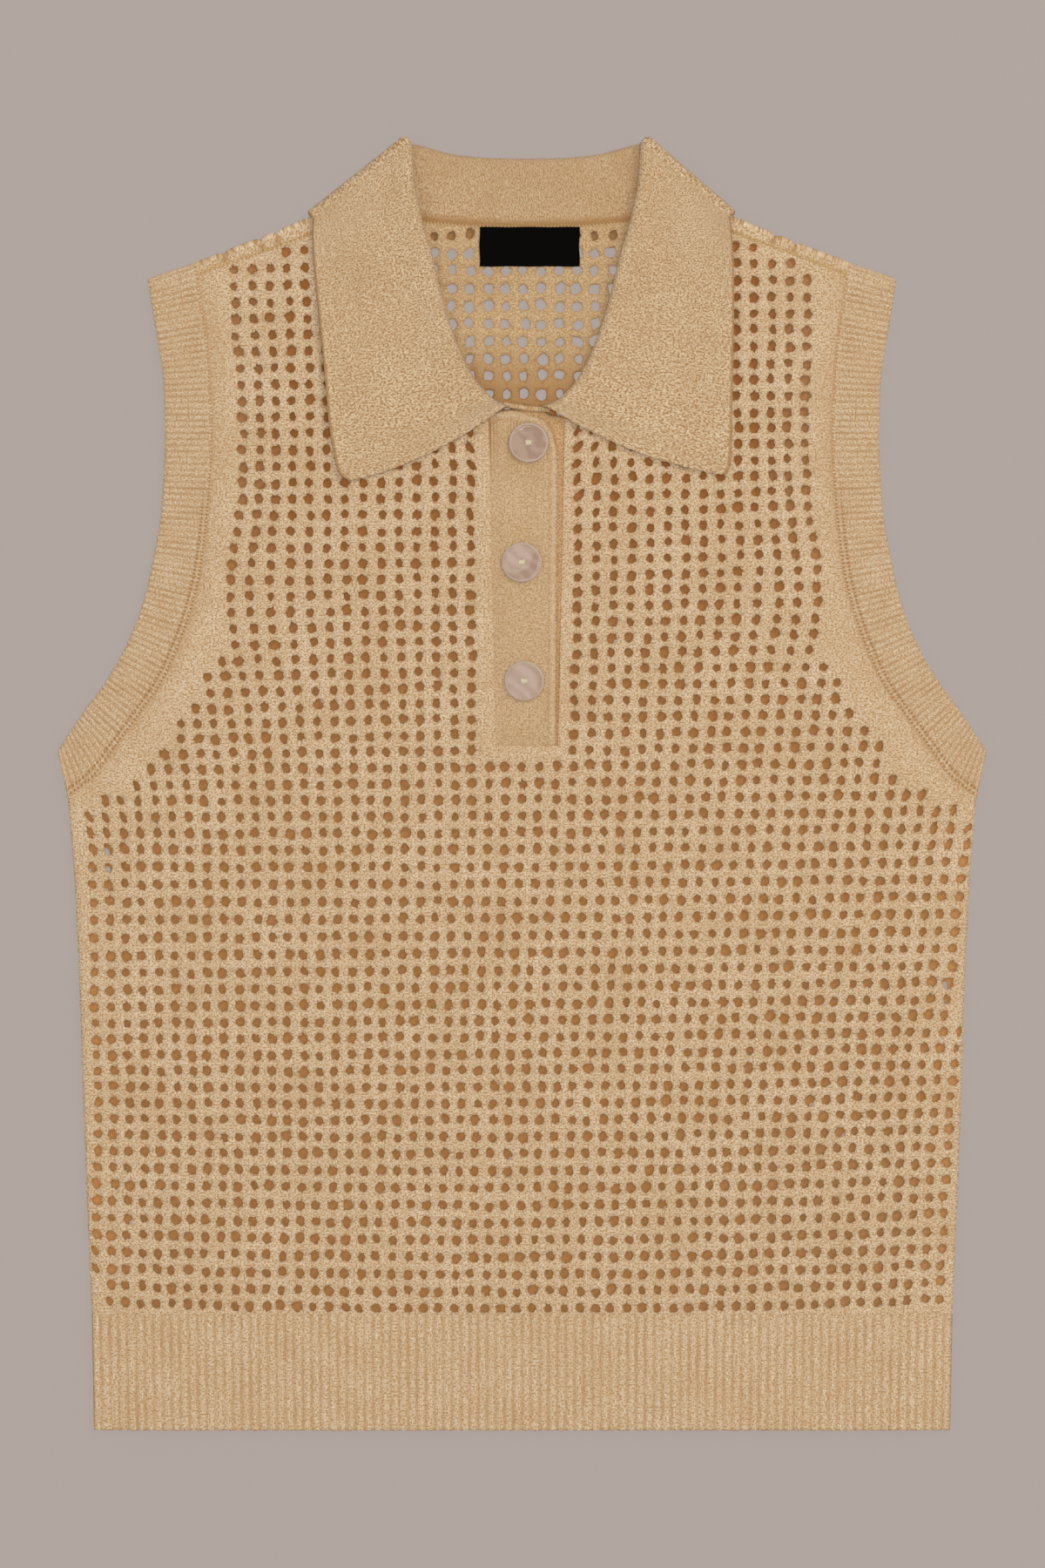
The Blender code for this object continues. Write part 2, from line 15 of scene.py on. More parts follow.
import bmesh
import bpy
import numpy as np
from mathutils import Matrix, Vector, geometry, noise
from mathutils.kdtree import KDTree


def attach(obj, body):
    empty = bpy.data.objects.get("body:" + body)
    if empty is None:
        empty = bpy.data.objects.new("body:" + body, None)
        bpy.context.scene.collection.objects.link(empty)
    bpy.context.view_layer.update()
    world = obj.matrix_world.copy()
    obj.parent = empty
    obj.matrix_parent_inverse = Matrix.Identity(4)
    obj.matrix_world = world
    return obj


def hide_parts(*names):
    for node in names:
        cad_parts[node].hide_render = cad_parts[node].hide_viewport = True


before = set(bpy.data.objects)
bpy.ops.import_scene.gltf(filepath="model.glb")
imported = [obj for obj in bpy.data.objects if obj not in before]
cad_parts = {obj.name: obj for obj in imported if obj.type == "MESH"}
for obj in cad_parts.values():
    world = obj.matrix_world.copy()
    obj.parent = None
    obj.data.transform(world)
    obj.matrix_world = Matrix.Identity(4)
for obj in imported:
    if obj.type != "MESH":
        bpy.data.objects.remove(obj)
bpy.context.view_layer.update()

MM = 0.001
BODY = "root"
SIDES = (-1, 1)  # the photograph's left and right
ROUND = 2.0 * math.pi
ORIGIN_HEIGHT = 311.8  # the middle of the garment's length, from the hem
WALL = 2.4  # thickness of the knit
GAP = 0.3  # between walls that press on each other
LAYER = WALL + GAP
MEET = 0.02  # between pieces at a seam
HEM_HEIGHT = 56.0
HEM_REACH = 207.0  # half the length of the hem's seam

# The garment's outline and collar, as in the solids.
SIDE = (  # height, half
    (0.0, 206.6),
    (56.0, 207.7),
    (131.0, 210.8),
    (232.0, 214.2),
    (270.0, 216.3),
    (305.5, 219.3),
)
ARMHOLE = (  # seam half, seam height, edge half, edge height
    (219.3, 305.5, 224.1, 327.6),
    (206.9, 315.0, 218.6, 336.0),
    (195.9, 329.7, 211.9, 346.1),
    (182.5, 347.8, 201.0, 360.8),
    (174.1, 359.9, 194.7, 371.3),
    (166.5, 375.9, 188.2, 384.7),
    (159.4, 395.6, 182.2, 401.9),
    (154.4, 417.5, 177.9, 420.8),
    (151.4, 443.9, 173.9, 445.2),
    (149.4, 479.6, 172.4, 479.6),
    (150.2, 503.0, 172.8, 502.0),
    (152.4, 529.0, 175.8, 525.0),
    (154.5, 543.0, 178.0, 538.0),
    (157.1, 561.1, 180.4, 553.4),
)
SHOULDER_KINK = (101.0, 582.8)  # half, height: from here the shoulder rises faster to the neck
SHOULDER_SEAM_OUT = 557.5  # height of the seam at the armhole, on the front
NECK_X = 1.9  # the neck's middle, from which its halves are measured
FRONT_NECK = (  # seam, roll, left leaf edge and right leaf edge: half, height of each, and bow
    (12.6, 493.1, 8.4, 493.2, 85.3, 457.4, 95.8, 460.3, 5.0),
    (16.0, 494.3, 11.3, 494.2, 90.3, 461.6, 98.3, 464.5, 4.2),
    (20.2, 495.6, 15.6, 496.0, 93.2, 474.2, 99.1, 474.6, 3.0),
    (31.9, 501.9, 24.2, 504.2, 94.9, 484.7, 99.3, 486.4, 1.5),
    (49.6, 516.2, 31.0, 516.2, 96.2, 499.8, 99.5, 500.6, 0.0),
    (61.3, 530.9, 36.9, 530.9, 97.9, 518.3, 99.8, 517.4, 0.0),
    (69.7, 547.7, 41.9, 547.7, 100.0, 539.3, 100.2, 538.4, 0.0),
    (75.6, 565.3, 46.1, 565.3, 101.6, 556.1, 100.0, 558.6, 0.0),
    (80.2, 584.6, 51.6, 584.6, 102.6, 570.2, 99.4, 572.0, 0.0),
    (82.9, 591.5, 55.0, 602.3, 102.8, 578.0, 98.8, 579.6, 0.0),
)
SEAM_ROW = 8  # the row of FRONT_NECK where the shoulder seam meets the neck
FOLD_SEAM_HALF = 85.3
FOLD_ROLL = (56.0, 619.8)  # half, height of the roll where the collar turns to the back
FOLD_LEAF_HALF = {-1: 102.4, 1: 98.0}
FOLD_TURNS = (90.0, 60.0, 30.0, 0.0, -30.0, -60.0, -90.0)  # front, outwards, back
BACK_NECK = (  # seam, roll and leaf edge: half, height of each
    (80.6, 590.6, 52.6, 619.0, 97.0, 576.0),
    (68.9, 585.6, 46.0, 617.2, 82.3, 572.0),
    (49.1, 582.4, 34.4, 614.2, 60.5, 570.4),
    (24.8, 580.4, 17.6, 612.6, 31.9, 570.8),
    (0.0, 579.6, 0.0, 612.1, 0.0, 571.2),
)
ROLL_PUFF = 1.4  # the front leaf stands off the stand this much more at the roll
ROLL_REACH = 16.0
LEAF_SLACK = 0.2
OVER_PLACKET = (30.0, 12.0)  # half and reach of the step by which the leaf clears the placket
PLACKET_STEP = 1.0
BACK_LEAF_TOP = 543.0  # below this height the back lies on the surface
BACK_LEAF_HALF = 128.0
RAMP = 25.0
LOFT = 1.3  # the front stands off the back this much more away from the edges
LOFT_REACH = 30.0
SIDE_WAVER = 0.45  # how far the side edges waver

# The placket, the buttons and the label.
SLOT_FOOT, SLOT_HEAD = 330.1, 491.4
SLOT_LEFT, SLOT_RIGHT = (-12.6, -16.2), (17.4, 20.7)  # x at the foot and at the head
PLACKET_RIGHT = (16.2, 17.0)  # x at the foot and at the head
PLACKET_HEAD = (  # x, height along the upper placket's top edge
    (-16.2, 490.2),
    (-12.0, 491.2),
    (-6.5, 491.5),
    (2.7, 489.6),
    (9.4, 487.3),
    (14.3, 482.0),
    (16.2, 476.0),
    (17.0, 472.0),
)
BEAD = 3.6  # width of the bead along the upper placket's loose edge
UNDER_TOP = LAYER + 2.0  # z of the under placket's face
UNDER_LEFT = -12.0
UNDER_HEAD = 489.4
UNDER_RISE = 3.0  # how much higher its head is where the collar's ends meet
NECK_ROLL = ((-8.6, 494.4), (-4.4, 493.7), (0.2, 492.9), (5.3, 492.3), (9.4, 492.2), (13.0, 492.0))
BUTTONS = ((3.15, 475.9), (-0.2, 418.3), (1.05, 361.2))  # x, height
BUTTON_Z = UNDER_TOP + GAP + WALL + GAP
BUTTON_STEPS = 72
SHELL_PROFILE = (  # radius, height: from the middle of the face over the rim to the underside
    (0.0, 2.1),
    (3.8, 2.1),
    (6.6, 2.12),
    (7.9, 2.15),
    (8.5, 2.17),
    (8.9, 2.1),
    (9.2, 1.94),
    (9.4, 1.66),
    (9.5, 1.3),
    (9.4, 0.85),
    (9.0, 0.45),
    (8.2, 0.15),
    (7.0, 0.0),
    (0.0, 0.0),
)
HOLE_RING = 1.0  # half the spacing of the thread holes
THREAD_HOLE = 0.5  # its radius
PIN = 20.0  # length of the pin that drills a thread hole
STRANDS = 6  # of thread in each pair of holes
STRAND_PITCH = 0.3
STRAND = (0.24, 7)  # radius, sides
SHANK = (1.5, 7)  # of thread between the button and the cloth
THREAD_SEED = 40  # to which the button's number is added
LABEL_SIZE = (48.2, 19.0)
LABEL_MIDDLE = (3.6, 570.6)

# The nets of holes: where each row lies at its left, middle and right, and its columns.
FRONT_NET = (  # row, reach of left and right, left, middle, right height, column 0, pitch
    (-48, 137.0, 567.4, 569.5, 570.4, 7.6, 8.66),
    (-39, 137.0, 496.0, 497.9, 498.5, 9.2, 8.58),
    (-30, 140.0, 425.5, 426.4, 430.5, 9.7, 8.65),
    (-21, 150.0, 355.3, 358.7, 360.4, 9.0, 8.36),
    (-12, 213.0, 288.1, 288.1, 290.6, 7.4, 7.98),
    (-3, 206.0, 212.1, 213.8, 215.9, 3.6, 7.77),
    (6, 206.0, 142.8, 141.5, 145.3, 0.6, 7.60),
    (16, 206.0, 62.2, 58.6, 63.4, -2.7, 7.55),
)
NECK_NET = (  # the back's net where the neck's opening shows it
    (0, 137.0, 576.2, 576.2, 576.2, 0.6, 8.62),
    (10, 137.0, 491.6, 491.2, 491.8, 0.9, 8.60),
)
NET_COLUMNS = (-32.0, 33.0)
NET_ROWS = (-52.0, 70.0)
DRAWN_OUT = (  # height, how far the outer columns are drawn towards the armholes
    (345.0, 0.0), (362.0, 1.0), (379.0, 3.2), (398.0, 4.3), (417.0, 2.8),
    (431.0, 0.2), (452.0, -2.0), (480.0, -2.0), (525.0, 0.0),
)
DRAWN_FROM = (100.0, 138.0)  # distances out between which that sets in
NECK_CELL = (-0.5, -48.5)  # column and row of the front's net at the first of the neck's net
BACK_DRIFT = 1.2  # how far the back's net wanders from half a cell off the front's
SEE_THROUGH = (  # x, height, reach: where both nets' holes come together
    (-203.0, 272.0, 12.0),
    (136.5, 540.0, 11.0),
    (202.5, 206.0, 9.0),
    (203.5, 124.0, 9.0),
)
HOLE_RADIUS = 2.12
HOLE_TALL = 1.13
HOLE_JITTER = 0.34
FRONT_HOLES, BACK_HOLES = (12, 7), (8, 19)  # sides of a hole, seed
RAGGED = 0.19
LOWEST_HOLE = HEM_HEIGHT + 0.9
LIP = 0.8  # width of the sunk edge round a hole
LIP_SIDES = 8
FAN_REACH = 240.0**0.5  # beside the placket, where the holes are drawn out most
UNDERARM = (325.0, 388.0)  # heights between which holes keep further from the armhole's seam
MARGINS = {  # how far the middles of holes keep from each line
    "side": 2.3, "hem": 1.7, "armhole": 11.3, "underarm": 18.2, "slot": 4.9, "shoulder": 3.0,
    "front neck": 9.0, "back neck": 2.9, "fold": 3.4,
}
OUTLINE_STEP = 2.1
SEAM_DROP, EDGE_DROP, HOLE_DROP = 0.22, 1.15, 0.6  # how far a net's face sinks at its edges
OUTLINE, HOLE, LIP_RING, INSET, CORNER, PLAIN = range(6)  # kinds of a net's points

# Stitches and ribs.
WALE = 1.9  # breadth of a stitch
COURSE = 1.15
SLANT = 1.35  # courses that each half of a stitch climbs
LOOP = (0.95, 0.8)  # breadth and height of a loop of yarn in the knit's face
HEM_RIBS = 98
BAND_RIBS = 87
RIB = 0.9  # depth of a furrow
RIB_PHASES = ((0.0, 0.0), (0.15, 0.2), (0.3, 0.75), (0.5, 1.0), (0.7, 0.75), (0.85, 0.2))
BAND_WIDTH = 23.0
BAND_ACROSS = np.array(  # shares of the band's width, 0 at the seam
    [0.0, 0.02, 0.045, 0.07, 0.1, 0.13, 0.16, 0.2, 0.27, 0.38, 0.5, 0.64, 0.77, 0.88, 0.95, 0.985, 1.0]
)
PIT_ROWS = ((0.02, 0.3), (0.13, 1.0))  # pits along a band's seam: share of its width, how they fade
PIT_PITCH = 1.75
TWIST = 2.4  # pitch of the slanted loops over the shoulder
DIPS = {-1: (-143.4, -125.8, -117.8), 1: (121.2, 131.3)}  # x of open loops at the shoulder's fold
DIP_HALF = 1.5
DIP = 2.1
COLLAR_STEP = 1.35
ROLL_BENDS = np.radians(np.linspace(-78.0, 78.0, 11))
STAND_STEPS = np.array([0.0, 0.06, 0.2, 0.4, 0.6, 0.8, 1.0])
LEAF_STEPS = np.concatenate([np.linspace(0.0, 0.97, 50), [0.985, 0.995, 1.0]])
LEAF_CURL = 1.2  # how far the left leaf's edge curls up
CURL_REACH = 9.0
TOOTH, TEETH = 0.22, 2.7  # depth and length of a tooth of the leaf's edge
STITCH_SHAPE = np.array([(-1.0, 0.25), (-0.72, 0.85), (0.0, 1.0), (0.72, 0.85), (1.0, 0.25)])
STITCH_SIDES = 6
SEWING_SEED = 5
SHOULDER_LEAN = {-1: math.radians(48.0), 1: math.radians(132.0)}
SHOULDER_STITCH = (4.2, 1.3, 0.42)  # length, thickness, share of it that sinks in
BAND_STITCH = (1.5, 0.62, 0.75)
NECK_STITCH = (2.3, 0.95, 0.3)
SHARP, SHELL_SHARP = math.radians(60.0), math.radians(24.0)  # edges that shade sharp

# Flat sizes that the outline doesn't give.
SHOULDER_STRIP = (79.0, 13.0)  # width, length round the fold
BAND_FOLD = 9.0  # length of a band's turn over the shoulder
COLLAR_FLAT = (112.0, 490.0)  # width at the front's tips, length
COLLAR_AREA = 44000.0

# The view, where the floor and the lights are in metres.
FLOOR_SIZE = 60.0
FLOOR_Z = -0.0002
VIEW_HEIGHT = 756.0  # millimetres of the floor that the frame's height takes in
VIEW_MIDDLE = (0.2, 311.6)  # x, height
LENS = 100.0
SENSOR = (24.0, 36.0)
LIGHTS = (  # name, place, size, power, colour
    ("key", (1.5, 1.3, 2.2), 1.3, 19.0, (1.0, 0.985, 0.96)),
    ("fill", (-1.8, -0.9, 2.6), 2.4, 10.0, (0.98, 0.985, 1.0)),
    ("overhead", (0.12, 0.1, 2.6), 0.4, 22.0, (1.0, 0.99, 0.98)),
)
AMBIENT = ((1.0, 0.985, 0.97, 1.0), 0.48)  # colour, strength


# Numbers and curves.


def ease(t):
    """0 below 0 and 1 above 1, with a smooth step between."""
    t = np.clip(t, 0.0, 1.0)
    return t * t * (3.0 - 2.0 * t)


def bell(distance, reach):
    """1 at no distance, falling off over a reach."""
    return np.exp(-((distance / reach) ** 2))


def rounded(distance, reach):
    """How far a round edge has dropped, from 1 at the edge to 0 at its reach."""
    t = 1.0 - np.clip(np.asarray(distance) / reach, 0.0, 1.0)
    return 1.0 - np.sqrt(1.0 - t * t)


def mix(a, b, t):
    return np.asarray(a, float) * (1.0 - t) + np.asarray(b, float) * t


def flow(at, keys, values):
    """Values at places on a smooth curve through a table, which never swings past its rows."""
    at, keys, values = (np.asarray(item, float) for item in (at, keys, values))
    flat = values.ndim == 1
    values = values[:, None] if flat else values
    step = np.diff(keys)[:, None]
    slope = np.diff(values, axis=0) / step
    before, after = slope[:-1], slope[1:]
    same = before * after > 0.0
    total = np.where(same, before + after, 1.0)
    inner = np.where(same, 2.0 * before * after / total, 0.0)
    tangent = np.vstack([slope[:1], inner, slope[-1:]])
    k = np.clip(np.searchsorted(keys, at) - 1, 0, len(keys) - 2)
    t = (at - keys[k])[..., None] / step[k]
    beyond = t - np.clip(t, 0.0, 1.0)
    t = np.clip(t, 0.0, 1.0)
    made = (
        values[k] * (2.0 * t**3 - 3.0 * t**2 + 1.0)
        + tangent[k] * step[k] * (t**3 - 2.0 * t**2 + t)
        + values[k + 1] * (3.0 * t**2 - 2.0 * t**3)
        + tangent[k + 1] * step[k] * (t**3 - t**2)
    )
    made = made + beyond * step[k] * np.where(beyond < 0.0, tangent[k], tangent[k + 1])
    return made[..., 0] if flat else made


def waves(x, height, size, seed):
    """Soft unevenness between -1 and 1, with hollows and swells of about a size."""
    plans = zip(np.ravel(x), np.ravel(height))
    made = [noise.noise(Vector((a / size, b / size, seed))) for a, b in plans]
    return np.reshape(made, np.shape(x))


def lengths(points):
    """Distance along a line of points, from its start to each."""
    steps = np.linalg.norm(np.diff(np.asarray(points, float), axis=0), axis=-1)
    return np.concatenate([[0.0], np.cumsum(steps)])


def spaced(points, step):
    """The same line with points a step apart."""
    points = np.asarray(points, float)
    along = lengths(points)
    count = max(int(round(along[-1] / step)), 1)
    at = np.linspace(0.0, along[-1], count + 1)
    return np.stack([np.interp(at, along, points[:, c]) for c in range(points.shape[1])], 1)


def unit(vectors):
    """Vectors of length 1, along the last axis."""
    return vectors / np.maximum(np.linalg.norm(vectors, axis=-1, keepdims=True), 1e-9)


def within(points, polygon):
    """Which points are inside a polygon. polygon may be one, or one for each point."""
    points, polygon = np.asarray(points), np.asarray(polygon)
    x, y = points[:, :1], points[:, 1:]
    ax, ay = polygon[..., 0], polygon[..., 1]
    bx, by = np.roll(ax, -1, axis=-1), np.roll(ay, -1, axis=-1)
    crosses = (ay > y) != (by > y)
    with np.errstate(divide="ignore", invalid="ignore"):
        at = ax + (y - ay) / (by - ay) * (bx - ax)
    return (crosses & (x < at)).sum(axis=1) % 2 == 1


def nearest(points, line):
    """The place in a list of plans of the one nearest to each point, and its distance."""
    tree = KDTree(len(line))
    for k, (x, y) in enumerate(line):
        tree.insert((x, y, 0.0), k)
    tree.balance()
    found = [tree.find((x, y, 0.0))[1:] for x, y in points]
    places, distances = zip(*found)
    return np.array(places), np.array(distances)


def distance(points, line):
    """Distance from each point to a dense line of points."""
    return nearest(points, line)[1]


# The garment's form.

ARMHOLE_ROWS = np.array(ARMHOLE)
ARMHOLE_AT = lengths((ARMHOLE_ROWS[:, :2] + ARMHOLE_ROWS[:, 2:]) / 2)
ARMHOLE_LENGTH = ARMHOLE_AT[-1]
ARMHOLE_FINE = flow(np.linspace(0.0, ARMHOLE_LENGTH, 241), ARMHOLE_AT, ARMHOLE_ROWS)
ARMHOLE_TOP = ARMHOLE[-1][:2]
SIDE_TOP = SIDE[-1][0]
SIDE_HEIGHTS = np.array([row[0] for row in SIDE] + list(ARMHOLE_FINE[1:, 1]))
SIDE_HALVES = np.array([row[1] for row in SIDE] + list(ARMHOLE_FINE[1:, 0]))


def body_half(height):
    """Half the panels' width: the side edge, and above it the armhole's seam."""
    return np.interp(height, SIDE_HEIGHTS, SIDE_HALVES)


def neck_line(side, rows, column=0):
    """A line of a table of the neck, on one side, from the column with its distances out."""
    return [(NECK_X + side * row[column], row[column + 1]) for row in rows]


def fold_line(x):
    """Height of the shoulder's fold at an x on either side."""
    found = []
    for side in SIDES:
        roll = abs(NECK_X + side * FOLD_ROLL[0])
        halves = (roll, SHOULDER_KINK[0], ARMHOLE_TOP[0])
        heights = (FOLD_ROLL[1], SHOULDER_KINK[1], ARMHOLE_TOP[1])
        found.append(np.interp(np.abs(x), halves, heights))
    return np.where(np.asarray(x) < 0, found[0], found[1])


def fold_places(side):
    """Where the collar's seam, its roll and its leaf's edge go over the shoulder's fold."""
    leaf_x = NECK_X + side * FOLD_LEAF_HALF[side]
    leaf = (leaf_x, float(fold_line(leaf_x)))
    roll = (NECK_X + side * FOLD_ROLL[0], FOLD_ROLL[1])
    seam_x = NECK_X + side * FOLD_SEAM_HALF
    return mix(leaf, roll, (seam_x - leaf[0]) / (roll[0] - leaf[0])), roll, leaf


def shoulder_fold(side):
    """The shoulder's fold, from the armhole over its kink to the neck's seam."""
    ends = [(side * half, height) for half, height in (ARMHOLE_TOP, SHOULDER_KINK)]
    return ends + [tuple(fold_places(side)[0])]


def shoulder_seam(side, t):
    """The front's shoulder seam, from the armhole to the neck."""
    outer = (side * float(body_half(SHOULDER_SEAM_OUT)), SHOULDER_SEAM_OUT)
    inner = neck_line(side, FRONT_NECK)[SEAM_ROW]
    bow = np.asarray(t) * (1.0 - np.asarray(t)) * np.array((0.0, 0.8))
    return mix(outer, inner, t) + bow


def armhole_line(side):
    return spaced(ARMHOLE_FINE[:, :2] * (side, 1), 2.0)


def lift(x, height):
    """How far the back is raised by the collar's leaf folded under it."""
    up = ease((height - BACK_LEAF_TOP) / RAMP)
    across = ease((BACK_LEAF_HALF - np.abs(x)) / RAMP)
    return LAYER * up * across


def back_inside(x, height):
    return WALL + lift(x, height)


def front_inside(x, height):
    in_from_side = ease((body_half(height) - np.abs(x)) / LOFT_REACH)
    in_from_top = ease((fold_line(x) - height) / LOFT_REACH)
    return back_inside(x, height) + GAP + LOFT * in_from_side * in_from_top


def front_top(x, height):
    return front_inside(x, height) + WALL


def with_z(plan, z):
    return np.concatenate([plan, np.asarray(z)[..., None]], -1)


def on_front(plan):
    return with_z(plan, front_inside(plan[..., 0], plan[..., 1]))


def on_back(plan):
    return with_z(plan, back_inside(plan[..., 0], plan[..., 1]))


def around_fold(plan, turn):
    """Points of the inner face where a wall goes over the shoulder, turned from back to front."""
    x, height = plan[..., 0], plan[..., 1]
    low, high = back_inside(x, height), front_inside(x, height)
    reach = (high - low) / 2
    angle = np.radians(turn)
    return np.stack([x, height + reach * np.cos(angle), (low + high) / 2 + reach * np.sin(angle)], -1)


# Meshes.


def metres(points):
    """Points of x, height and z in millimetres, in the frame's metres."""
    moved = np.array(points, float)
    moved[..., 1] -= ORIGIN_HEIGHT
    return moved * MM


def places_of(piece):
    """x, height and z of a piece's points, in millimetres."""
    x, height, z = (np.array([v.co for v in piece.data.vertices]) / MM).T
    return x, height + ORIGIN_HEIGHT, z


def face_outwards(mesh):
    """Turns a closed mesh's faces round where they point inwards."""
    solid = bmesh.new()
    solid.from_mesh(mesh)
    if solid.calc_volume(signed=True) < 0.0:
        mesh.flip_normals()
    solid.free()


def mark(mesh, name, values):
    """Gives each point of a mesh a value that its material reads."""
    attribute = mesh.attributes.new(name, "FLOAT", "POINT")
    attribute.data.foreach_set("value", np.asarray(values, np.float32))


def add_painted_shade(piece, more):
    """Adds painted shade to each point of a piece, which paints its yarn more golden."""
    data = piece.data.attributes["painted_shading"].data
    values = np.zeros(len(data), np.float32)
    data.foreach_get("value", values)
    data.foreach_set("value", (values + more).astype(np.float32))


def make_piece(name, points, faces, knit, painted_shading, finish, slot, *nodes):
    """A piece from its points in millimetres, its faces and what its material reads."""
    mesh = bpy.data.meshes.new(name)
    mesh.from_pydata(metres(points).tolist(), [], faces)
    mesh.update()
    face_outwards(mesh)
    corners = np.zeros(len(mesh.loops), np.int32)
    mesh.loops.foreach_get("vertex_index", corners)
    layer = mesh.uv_layers.new(name="knit")
    layer.data.foreach_set("uv", np.asarray(knit, np.float32)[corners].ravel())
    mark(mesh, "painted_shading", painted_shading)
    mesh.shade_smooth()
    mesh.set_sharp_from_angle(angle=SHARP)
    mesh.materials.append(finish)
    made = bpy.data.objects.new(name, mesh)
    bpy.context.scene.collection.objects.link(made)
    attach(made, BODY)
    if nodes:
        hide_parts(*nodes)
    return made


def rim_faces(faces, shift):
    """Faces that join the open edges of a sheet to the same edges of its other side."""
    edges = {}
    for face in faces:
        for a, b in zip(face, face[1:] + face[:1]):
            edges[(a, b)] = True
    return [(b, a, shift(a), shift(b)) for a, b in edges if (b, a) not in edges]


def wall_of(name, outside, inside, knit, painted_shading, finish, slot, *nodes):
    """A closed wall between two matching grids of points."""
    rows, columns = outside.shape[:2]
    count = rows * columns
    corners = [i * columns + j for i in range(rows - 1) for j in range(columns - 1)]
    front = [(a, a + 1, a + columns + 1, a + columns) for a in corners]
    back = [tuple(p + count for p in face[::-1]) for face in front]
    faces = front + back + rim_faces(front, lambda p: p + count)
    points = np.concatenate([outside.reshape(-1, 3), inside.reshape(-1, 3)])
    knit = np.tile(np.reshape(knit, (-1, 2)), (2, 1))
    # The inner face is given painted shade.
    painted_shading = np.append(painted_shading, np.full(count, 0.5))
    return make_piece(name, points, faces, knit, painted_shading, finish, slot, *nodes)


def wall_over(name, x, height, top, low, painted_shading, finish, slot, node, knit=None):
    """A closed wall over a grid of plans, between the z of its two faces."""
    plan = np.stack([x, height], -1)
    knit = plan if knit is None else knit
    inside = with_z(plan, np.broadcast_to(low, x.shape))
    return wall_of(name, with_z(plan, top), inside, knit, painted_shading, finish, slot, node)


def outward(grid):
    """Unit normals of a grid of points, towards the side from which its rows run left to right."""
    return unit(np.cross(np.gradient(grid, axis=1), np.gradient(grid, axis=0)))


def join_tubes(name, tubes, finish, slot):
    """Closed tubes joined as one piece. Each is a grid of points, a row for each ring, and their
    places on the yarn."""
    faces, start = [], 0
    for rings, _ in tubes:
        count, sides = rings.shape[:2]
        end = start + (count - 1) * sides
        for a in range(start, end, sides):
            for k in range(sides):
                n = (k + 1) % sides
                faces.append((a + k, a + n, a + sides + n, a + sides + k))
        faces.append(tuple(range(start, start + sides))[::-1])
        faces.append(tuple(range(end, end + sides)))
        start = end + sides
    points = np.concatenate([rings.reshape(-1, 3) for rings, _ in tubes])
    knit = np.concatenate([places.reshape(-1, 2) for _, places in tubes])
    return make_piece(name, points, faces, knit, np.zeros(len(points)), finish, slot)


def tube(path, radius, sides):
    """A round strand along a line of points."""
    path = np.asarray(path, float)
    ahead = unit(np.gradient(path, axis=0))
    across = np.cross(ahead, (0.0, 0.0, 1.0))
    across[np.linalg.norm(across, axis=1) < 1e-6] = (1.0, 0.0, 0.0)
    across = unit(across)
    up = np.cross(across, ahead)
    turn = ROUND * np.arange(sides)[:, None] / sides
    rings = path[:, None] + radius * (across[:, None] * np.cos(turn) + up[:, None] * np.sin(turn))
    around, along = np.meshgrid(np.arange(sides) / sides * 2.0, lengths(path))
    return rings, np.stack([around, along], -1)


# The openwork net.


def net_place(table, column, row):
    """The middle of the net's cell at a column and a row."""
    line = flow(row, [line[0] for line in table], [line[1:] for line in table])
    reach, left, middle, right, first, pitch = np.moveaxis(line, -1, 0)
    x = first + pitch * column
    t = x / reach
    tilt, bow = (right - left) / 2, (right + left) / 2 - middle
    bow = bow * np.minimum(t * t, 1.0)
    return np.stack([x, middle + tilt * np.clip(t, -1.0, 1.0) + bow], -1)


def front_place(column, row):
    made = net_place(FRONT_NET, column, row)
    x, height = made[..., 0], made[..., 1]
    low, high = DRAWN_FROM
    heights, amounts = zip(*DRAWN_OUT)
    outwards = flow(np.clip(height, heights[0], heights[-1]), heights, amounts)
    made[..., 0] = x + np.sign(x) * outwards * ease((np.abs(x) - low) / (high - low))
    return made


def back_place(column, row):
    """The back's net lies half a cell off the front's, but for what the neck's opening shows."""
    hidden = front_place(column + NECK_CELL[0], row + NECK_CELL[1])
    x, height = hidden[..., 0], hidden[..., 1]
    drift = np.stack([waves(x, height, 62.0, seed) for seed in (31.0, 37.0)], -1)
    for at_x, at_height, reach in SEE_THROUGH:
        drift = drift + 1.7 * bell(np.hypot(x - at_x, height - at_height), reach)[..., None]
    shown = net_place(NECK_NET, column, row)
    share = ease((height - 482.0) / 8.0) * ease((94.0 - np.abs(x - NECK_X)) / 32.0)
    return mix(hidden + BACK_DRIFT * drift, shown, share[..., None])


def net_cells(place, outline, margins):
    """The middle and the far corner of each of a net's cells in a panel, and its hole's breadth,
    0 where there is none. margins are lines with the clearance that a hole's middle keeps."""
    column, row = np.meshgrid(np.arange(*NET_COLUMNS), np.arange(*NET_ROWS))
    column, row = column.ravel(), row.ravel()
    middle = place(column, row)
    corner = middle + (place(column + 0.5, row) - middle) + (place(column, row + 0.5) - middle)
    inside = within(middle, outline) & (distance(middle, outline) > 1.4)
    middle, corner = middle[inside], corner[inside]
    to_side = body_half(middle[:, 1]) - np.abs(middle[:, 0])
    low = middle[:, 1] < SIDE_TOP
    breadth = np.where(low, np.clip((to_side - 0.7) / 3.2, 0.3, 1.0), 1.0)
    breadth[low & (to_side < MARGINS["side"])] = 0.0
    for line, clearance in margins:
        breadth[distance(middle, line) < clearance] = 0.0
    return middle, corner, breadth


